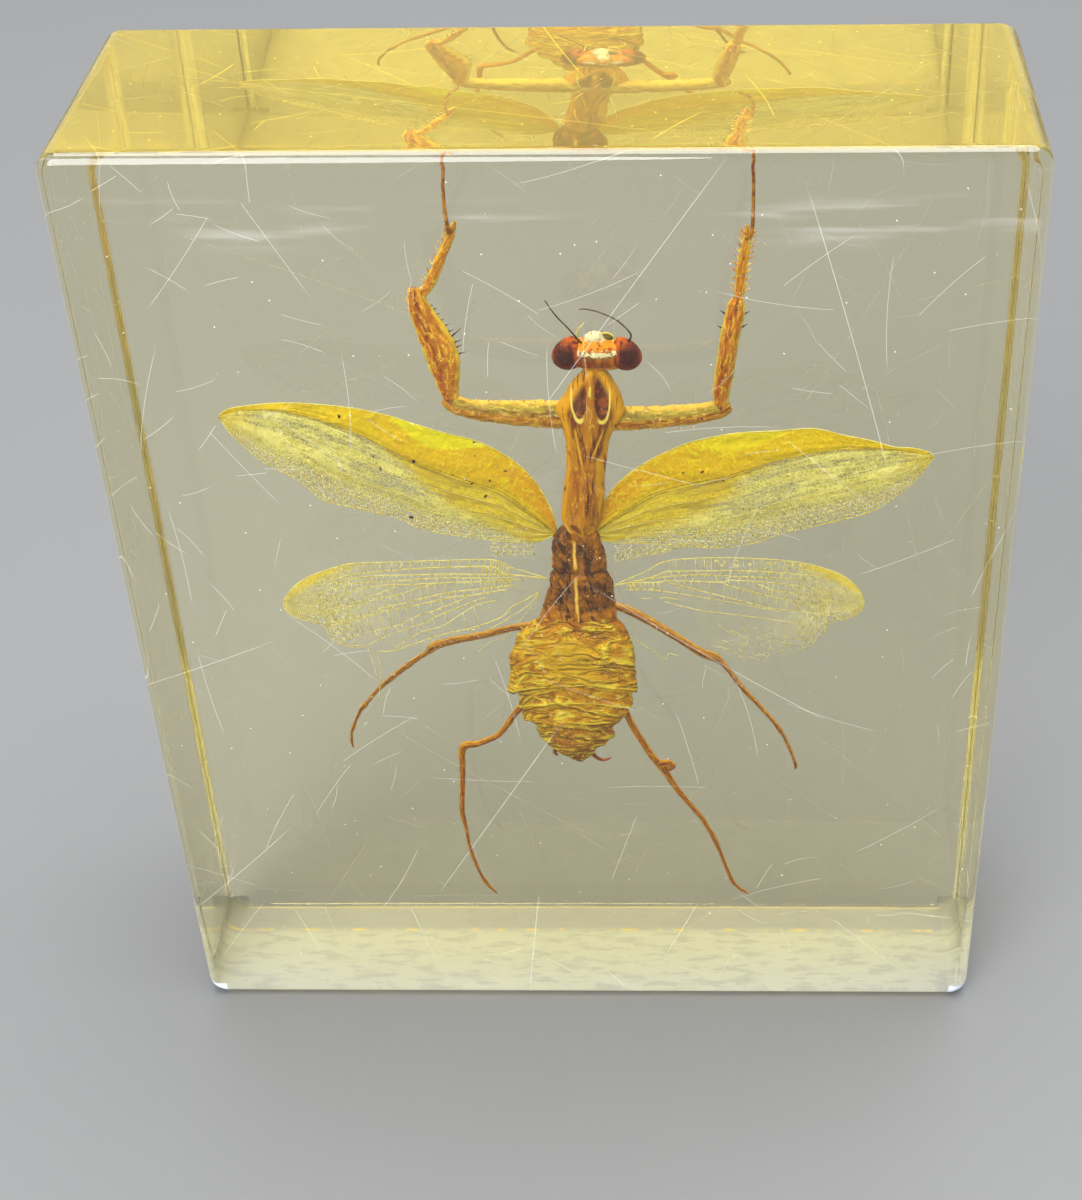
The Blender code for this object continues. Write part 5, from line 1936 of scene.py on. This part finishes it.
def hindwings() -> tuple[Hindwing, Hindwing]:
    """Give the two hindwings with their traced veins, listed from the leading edge down."""
    thick, medium, thin, hair = (0.12, 0.06), (0.10, 0.055), (0.08, 0.045), (0.06, 0.04)
    left = Hindwing(
        Side.LEFT,
        guides=(
            ((-2.8, 60.2), (-6.7, 61.5), (-8.9, 62.7), (-12.4, 62.8), (-20.7, 62.5),
             (-24.9, 62.4), (-28.3, 61.7), (-30.9, 60.7), (-33.1, 59.3), (-34.4, 57.7),
             (-34.9, 56.4)),
            ((-2.8, 60.2), (-4.0, 58.2), (-6.9, 56.1), (-13.2, 52.1), (-18.2, 50.2),
             (-22.0, 49.4), (-26.0, 49.9), (-29.3, 50.8), (-30.4, 53.0), (-33.1, 54.2),
             (-34.6, 55.5), (-34.9, 56.4))),
        veins={
            "edge": (thin, (
                (-3.4, 60.3), (-6.7, 61.5), (-8.9, 62.7), (-12.4, 62.8), (-24.9, 62.4),
                (-28.3, 61.7), (-30.9, 60.7), (-33.1, 59.3), (-34.4, 57.7), (-34.9, 56.7),
                (-34.7, 55.4), (-33.1, 54.2), (-30.4, 53.0), (-29.8, 51.4), (-29.0, 50.6),
                (-27.9, 50.1), (-26.9, 49.9), (-25.5, 50.0))),
            "second": (thick, (
                (-7.1, 60.6), (-8.4, 61.0), (-10.0, 61.8), (-18.3, 61.6), (-21.7, 61.3),
                (-27.6, 60.4), (-30.2, 59.5))),
            "third": (thick, (
                (-2.9, 60.1), (-7.4, 60.6), (-10.1, 60.7), (-21.7, 60.6), (-25.1, 60.3),
                (-27.6, 59.9), (-29.7, 59.2))),
            "fourth": (medium, (
                (-6.8, 60.2), (-16.0, 60.1), (-25.2, 59.5), (-27.6, 59.1), (-31.6, 57.5))),
            "fifth": (medium, (
                (-5.8, 59.9), (-18.5, 59.3), (-21.0, 59.3), (-23.6, 59.0), (-25.6, 58.6),
                (-30.0, 56.9), (-31.8, 56.0))),
            "branch": (thin, ((-21.1, 59.0), (-25.5, 56.9), (-31.0, 55.2))),
            "sixth": (medium, (
                (-16.0, 59.4), (-18.6, 58.7), (-20.3, 58.0), (-22.7, 57.4), (-25.2, 56.6),
                (-30.8, 54.5))),
            "seventh": (medium, (
                (-6.8, 59.1), (-13.6, 58.2), (-18.7, 57.1), (-20.4, 56.5), (-22.9, 55.9),
                (-25.0, 54.8), (-30.4, 53.5))),
            "eighth": (medium, (
                (-7.9, 58.5), (-12.3, 57.6), (-14.5, 57.3), (-20.5, 55.9), (-22.9, 55.3),
                (-25.4, 54.3), (-27.8, 53.6), (-30.1, 53.1))),
            "fan_a": (thin, (
                (-12.8, 57.2), (-16.3, 55.6), (-18.9, 54.6), (-21.1, 53.4), (-25.3, 52.1),
                (-28.8, 50.7))),
            "fan_b": (thin, (
                (-10.6, 57.3), (-15.9, 54.9), (-18.2, 53.5), (-20.8, 52.6), (-25.5, 50.2))),
            "fan_c": (thin, (
                (-9.3, 56.8), (-12.1, 55.9), (-16.0, 53.1), (-18.3, 52.3), (-20.1, 51.3),
                (-22.3, 49.5))),
            "fan_d": (medium, (
                (-4.2, 58.1), (-5.6, 57.0), (-7.4, 55.9), (-8.8, 54.4), (-12.6, 52.7),
                (-15.8, 51.9), (-21.9, 49.5), (-24.2, 49.3))),
            "fan_e": (thin, (
                (-4.1, 57.9), (-5.5, 56.1), (-8.9, 53.5), (-11.0, 52.1), (-12.5, 50.6))),
            "fan_f": (hair, (
                (-4.1, 57.8), (-5.0, 56.0), (-8.3, 51.6), (-10.4, 50.6), (-12.0, 49.1))),
        },
        ladders=tuple(Ladder(*row) for row in (
            ("edge", "second", -10.2, -22.0, 1.0, -0.3),
            ("edge", "second", -22.0, -30.0, 0.45, -0.5, 0.04),
            ("edge", "third", -7.4, -9.6, 0.3, 0.0, 0.07),
            ("second", "third", -7.4, -11.0, 0.35, 0.1, 0.07),
            ("third", "fourth", -7.6, -29.0, 0.9),
            ("fourth", "fifth", -7.4, -10.6, 0.45, 0.0, 0.07),
            ("fourth", "fifth", -11.0, -30.0, 1.0, 0.15),
            ("fifth", "seventh", -7.4, -10.6, 0.5, 0.05, 0.07),
            ("fifth", "seventh", -11.0, -16.0, 1.0, 0.3, 0.05),
            ("fifth", "sixth", -16.8, -21.0, 1.0, 0.3),
            ("fifth", "branch", -21.5, -30.0, 0.8, 0.4, 0.045),
            ("branch", "sixth", -21.5, -30.0, 0.9, 0.4, 0.045),
            ("sixth", "seventh", -16.5, -30.0, 0.9, 0.3),
            ("seventh", "eighth", -9.0, -29.5, 0.9, 0.15),
            ("eighth", "fan_a", -13.5, -29.0, 1.2, 0.5, 0.04),
            ("fan_a", "fan_b", -14.0, -25.5, 1.1, 0.5, 0.04),
            ("fan_b", "fan_c", -12.0, -22.0, 1.6, 0.5, 0.035),
            ("fan_c", "fan_d", -12.0, -20.0, 2.0, 0.4, 0.035),
        )),
        dotted=0.35)
    right = Hindwing(
        Side.RIGHT,
        guides=(
            ((4.5, 58.9), (6.7, 60.0), (8.4, 60.9), (10.5, 62.3), (12.7, 62.8), (15.8, 63.0),
             (23.1, 62.8), (26.4, 62.4), (28.9, 61.8), (31.4, 60.8), (33.0, 59.6), (34.1, 58.3),
             (34.7, 56.9)),
            ((4.5, 58.9), (12.6, 56.9), (15.7, 51.0), (17.9, 48.5), (24.9, 48.2), (29.8, 51.3),
             (30.5, 53.2), (32.1, 53.8), (33.2, 54.3), (34.1, 54.9), (34.6, 55.8), (34.7, 56.9))),
        veins={
            "edge": (thin, (
                (4.8, 59.0), (8.4, 60.9), (10.5, 62.3), (12.7, 62.8), (15.8, 63.0), (19.0, 63.0),
                (23.1, 62.8), (26.4, 62.4), (28.9, 61.8), (31.4, 60.8), (33.0, 59.6), (34.1, 58.3),
                (34.7, 56.9), (34.6, 55.8), (34.1, 54.9), (33.2, 54.3), (32.1, 53.8))),
            "second": (thick, (
                (4.8, 59.0), (8.8, 60.0), (11.0, 61.0), (12.3, 61.1), (21.5, 61.1), (28.9, 60.4))),
            "third": (medium, (
                (9.2, 60.0), (12.0, 60.4), (13.9, 60.5), (16.6, 60.5), (23.6, 60.1), (27.8, 60.0))),
            "fourth": (medium, (
                (6.4, 59.4), (10.5, 59.5), (11.5, 59.7), (17.7, 59.5), (19.0, 59.8), (26.1, 59.1),
                (28.5, 58.5), (30.6, 57.7))),
            "fifth": (thin, ((6.3, 58.4), (11.3, 58.1), (24.9, 55.1))),
            "sixth": (thin, ((11.5, 59.4), (21.9, 56.1), (24.0, 55.6), (30.7, 54.6))),
            "seventh": (thin, (
                (17.7, 59.5), (19.0, 58.9), (24.0, 57.3), (26.5, 56.7), (28.7, 56.0), (30.7, 55.2))),
            "eighth": (thin, ((22.0, 59.2), (24.0, 58.3), (26.5, 57.8), (32.5, 56.3))),
            "ninth": (hair, ((10.9, 56.7), (13.2, 55.9), (16.6, 55.1), (27.4, 53.4))),
            "stub": (thin, ((10.3, 57.3), (11.5, 57.2), (12.9, 56.9))),
            "short": (hair, ((8.1, 57.1), (9.3, 57.2))),
        },
        ladders=tuple(Ladder(*row) for row in (
            ("second", "third", 11.0, 28.0, 0.9, 0.15, 0.05),
            ("edge", "second", 11.5, 28.0, 1.0, 0.1, 0.024),
            ("third", "fourth", 11.0, 27.5, 1.2, 0.3, 0.045),
            ("fourth", "fifth", 6.5, 8.2, 0.3, 0.3, 0.06),
            ("fourth", "fifth", 8.4, 10.6, 0.6, 0.6, 0.065),
            ("fourth", "sixth", 12.5, 17.5, 1.1, 0.2, 0.04),
            ("fourth", "seventh", 18.5, 22.0, 1.1, 0.3, 0.035),
            ("fourth", "eighth", 22.5, 30.0, 0.7, 0.3, 0.04),
            ("eighth", "seventh", 22.5, 30.5, 0.6, 0.2, 0.04),
            ("seventh", "sixth", 18.0, 30.5, 1.0, 0.2, 0.035),
            ("sixth", "fifth", 12.5, 24.0, 1.6, 0.2, 0.03),
        )),
        dotted=1.0)
    return left, right


@dataclass
class Debris:
    """What came loose in the casting: torn net, threads, dark flecks and pale grains."""

    depth: float = 4.3
    dark: tuple[Point, ...] = (
        (-25.3, 82.8), (-17.4, 76.8), (-13.1, 74.9), (-10.9, 73.8), (-8.9, 74.1), (-7.0, 75.4),
        (-10.3, 79.3), (-10.4, 77.5), (-22.0, 77.4), (-21.3, 75.8), (-9.5, 72.0), (-18.4, 69.1),
        (13.3, 75.1), (15.5, 75.2), (17.9, 74.0), (20.2, 70.1), (25.0, 69.5),
    )
    pale: tuple[Point, ...] = (
        (22.1, 50.7), (27.5, 51.3), (26.5, 49.6), (-10.2, 56.2), (-12.3, 56.8), (-12.6, 54.1),
        (-11.6, 53.5), (-12.2, 53.0), (4.6, 88.6), (-14.6, 99.0), (-13.2, 101.9),
    )
    threads: tuple[tuple[Point, ...], ...] = (
        ((6.7, 51.5), (8.0, 50.5), (9.5, 49.2), (11.0, 48.0), (11.3, 48.9), (12.5, 48.5)),
        ((-25.4, 49.9), (-25.0, 47.6), (-24.6, 45.1)),
        ((-24.5, 49.3), (-24.1, 46.5), (-24.9, 41.5)),
        ((18.9, 52.4), (21.2, 50.9)), ((17.9, 50.9), (19.2, 50.1)), ((17.6, 50.0), (19.6, 48.9)),
        ((-2.4, 66.4), (-3.6, 66.7), (-4.8, 66.9)),
    )
    torn_area: Point = (17.5, 26.0, 47.8, 52.8)
    torn_count: int = 44
    scraps: tuple[tuple[str, tuple[Point, ...], tuple[Point, ...], int, int], ...] = (
        ("left_scrap", ((-4.6, 65.6), (-9.4, 65.4)), ((-4.3, 63.5), (-9.4, 63.4)), 11, 3),
        ("right_scrap", ((5.2, 64.9), (13.7, 65.0)), ((5.1, 62.4), (10.4, 63.7)), 18, 8),
    )

    def build(self) -> None:
        """Model and dress all of it."""
        random = Random(5)
        brown = PlainFinish("fleck_dust", srgb(92, 56, 10), srgb(60, 34, 6)).make()
        places = [self.spot(x, z, self.depth - 0.35, random.uniform(0.14, 0.30), random)
                  for x, z in self.dark]
        add_insect(copies("dark_flecks", fleck(), places), brown)
        cream = PlainFinish("torn_vein", srgb(255, 250, 200), srgb(246, 234, 150)).make()
        places = [self.spot(x, z, self.depth - 1.0, random.uniform(0.12, 0.22), random)
                  for x, z in self.pale]
        add_insect(copies("pale_grains", fleck(), places), cream)
        lines = [[(x, self.depth, z, 0.05) for x, z in smooth_path(line, 8 * len(line))]
                 for line in self.threads]
        add_insect(threads("loose_threads", lines + self.torn(random), 5), cream)
        scraps = []
        for name, upper, lower, columns, seed in self.scraps:
            wing = Wing(name, (upper, lower), self.depth, camber=0.0)
            scraps += wing.net(
                [0.05, 0.36, 0.66, 0.95], lambda across: (0.0, 1.0),
                columns, radius=0.06, hexagonal=1.8, seed=seed, keep=0.9, jitter=1.5)
        add_insect(threads("net_scraps", scraps, 5), cream)

    @staticmethod
    def spot(x: float, z: float, depth: float, size: float, random: Random) -> Matrix:
        """Give the place of a fleck of a size in mm, turned by chance."""
        turned = Matrix.Rotation(random.uniform(0, 2 * pi), 4, "Y")
        stretch = Matrix.Diagonal((size * MM, size * MM, size * MM * random.uniform(0.5, 1.0), 1))
        return Matrix.Translation(Vector((x, depth, z)) * MM) @ turned @ stretch

    def torn(self, random: Random) -> list[list[Point]]:
        """Scatter the short pieces of the right hindwing's torn rear net."""
        left, right, low, high = self.torn_area
        lines = []
        for _ in range(self.torn_count):
            x, z = random.uniform(left, right), random.uniform(low, high)
            angle = random.choice((0.9, 1.1, -0.5, -0.6)) + random.uniform(-0.2, 0.2)
            reach = random.uniform(0.25, 0.9)
            lines.append([(x - cos(angle) * reach, self.depth, z - sin(angle) * reach, 0.035),
                          (x + cos(angle) * reach, self.depth, z + sin(angle) * reach, 0.035)])
        return lines


def gripping_legs() -> tuple[GrippingLeg, GrippingLeg]:
    """Give the two front legs with their traced sizes."""
    left = GrippingLeg(
        Side.LEFT,
        coxa=((1.5, 82.6, 1.4, 1.2), (-0.8, 82.7, 1.8, 1.3), (-3.8, 82.8, 1.7, 1.3),
              (-6.7, 83.0, 1.55, 1.2), (-10.4, 83.4, 1.25, 1.1), (-12.3, 84.1, 1.15, 1.0),
              (-13.3, 84.9, 0.7, 0.7)),
        femur=((-12.2, 83.6, 0.7, 0.6), (-12.6, 85.4, 1.0, 0.9), (-12.9, 87.8, 1.55, 1.0),
               (-13.1, 90.2, 1.95, 1.1), (-13.8, 92.6, 1.85, 1.0), (-14.8, 95.2, 1.45, 0.9),
               (-15.4, 97.2, 1.15, 0.8), (-15.4, 98.6, 0.7, 0.5)),
        tibia=((-15.2, 97.6, 0.5, 0.5), (-13.9, 98.9, 0.6, 0.5), (-12.6, 101.6, 0.55, 0.5),
               (-11.4, 104.1, 0.5, 0.45), (-10.9, 105.5, 0.4, 0.4), (-10.5, 106.4, 0.15, 0.15)),
        tarsus=((-11.2, 4.2, 105.2, 0.26), (-11.2, 2.6, 106.6, 0.22), (-11.3, 2.0, 109.5, 0.19),
                (-11.1, 1.7, 112.8, 0.18), (-10.5, 1.6, 115.2, 0.18), (-9.6, 1.9, 117.0, 0.12)),
        spines=(((-14.1, 96.4), (-13.6, 96.6)), ((-13.9, 95.9), (-13.2, 96.2)),
                ((-13.6, 95.2), (-12.9, 95.6)), ((-13.3, 94.5), (-12.5, 94.9)),
                ((-12.9, 93.8), (-12.0, 94.3)), ((-12.6, 93.1), (-11.6, 93.6)),
                ((-12.2, 92.4), (-10.7, 93.8)), ((-11.9, 91.8), (-10.8, 92.3)),
                ((-11.7, 91.2), (-10.8, 91.7)), ((-11.6, 90.4), (-10.4, 90.8))),
        coxa_spines=((-9.6, 84.6), (-8.3, 84.5), (-7.0, 84.4), (-5.7, 84.4), (-4.4, 84.4),
                     (-3.1, 84.4), (-2.0, 84.4)),
        teeth_sides=(1,))
    right = GrippingLeg(
        Side.RIGHT,
        coxa=((3.7, 82.1, 1.4, 1.2), (6.3, 82.1, 1.55, 1.3), (8.8, 82.2, 1.5, 1.2),
              (11.0, 82.3, 1.4, 1.2), (15.4, 82.8, 1.25, 1.1), (17.6, 83.3, 1.15, 1.0),
              (18.7, 83.8, 0.6, 0.7)),
        femur=((17.8, 83.0, 0.7, 0.9), (17.6, 84.9, 0.9, 1.3), (17.9, 87.6, 1.1, 1.7),
               (18.3, 90.6, 1.1, 2.0), (18.6, 92.8, 1.1, 1.8), (19.0, 94.8, 1.1, 1.4),
               (19.2, 96.2, 1.0, 1.1), (19.4, 97.2, 0.6, 0.7)),
        tibia=((19.3, 96.2, 0.5, 0.5), (19.6, 98.0, 0.55, 0.5), (19.8, 100.8, 0.6, 0.5),
               (20.2, 103.4, 0.5, 0.45), (20.4, 104.9, 0.35, 0.4), (20.3, 105.9, 0.15, 0.2)),
        tarsus=((20.3, 4.2, 104.4, 0.26), (20.8, 2.6, 105.6, 0.22), (20.9, 1.5, 109.3, 0.19),
                (20.8, 0.5, 113.4, 0.18), (20.2, 0.1, 115.8, 0.18), (18.9, 0.0, 117.3, 0.12)),
        spines=(((18.1, 95.2), (17.4, 95.8)), ((17.9, 93.4), (17.1, 93.9)),
                ((20.0, 95.2), (20.7, 95.6)), ((19.8, 93.6), (20.5, 94.1))),
        coxa_spines=((7.6, 83.6), (9.2, 83.6), (10.8, 83.7), (12.4, 83.8), (14.0, 83.9)),
        teeth_sides=(-1, 1))
    return left, right


def main() -> None:
    """Load the frame and build every sub-assembly in turn."""
    logging.basicConfig(level=logging.INFO, format="%(name)s: %(message)s")
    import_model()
    Studio().build()
    ResinBlock().build()
    Head().build()
    Pronotum().build()
    Trunk().build()
    for leg in gripping_legs():
        leg.build()
    WalkingLegs().build()
    Forewings().build()
    for wing in hindwings():
        wing.build()
    Debris().build()
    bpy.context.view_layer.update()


if __name__ == "__main__":
    main()
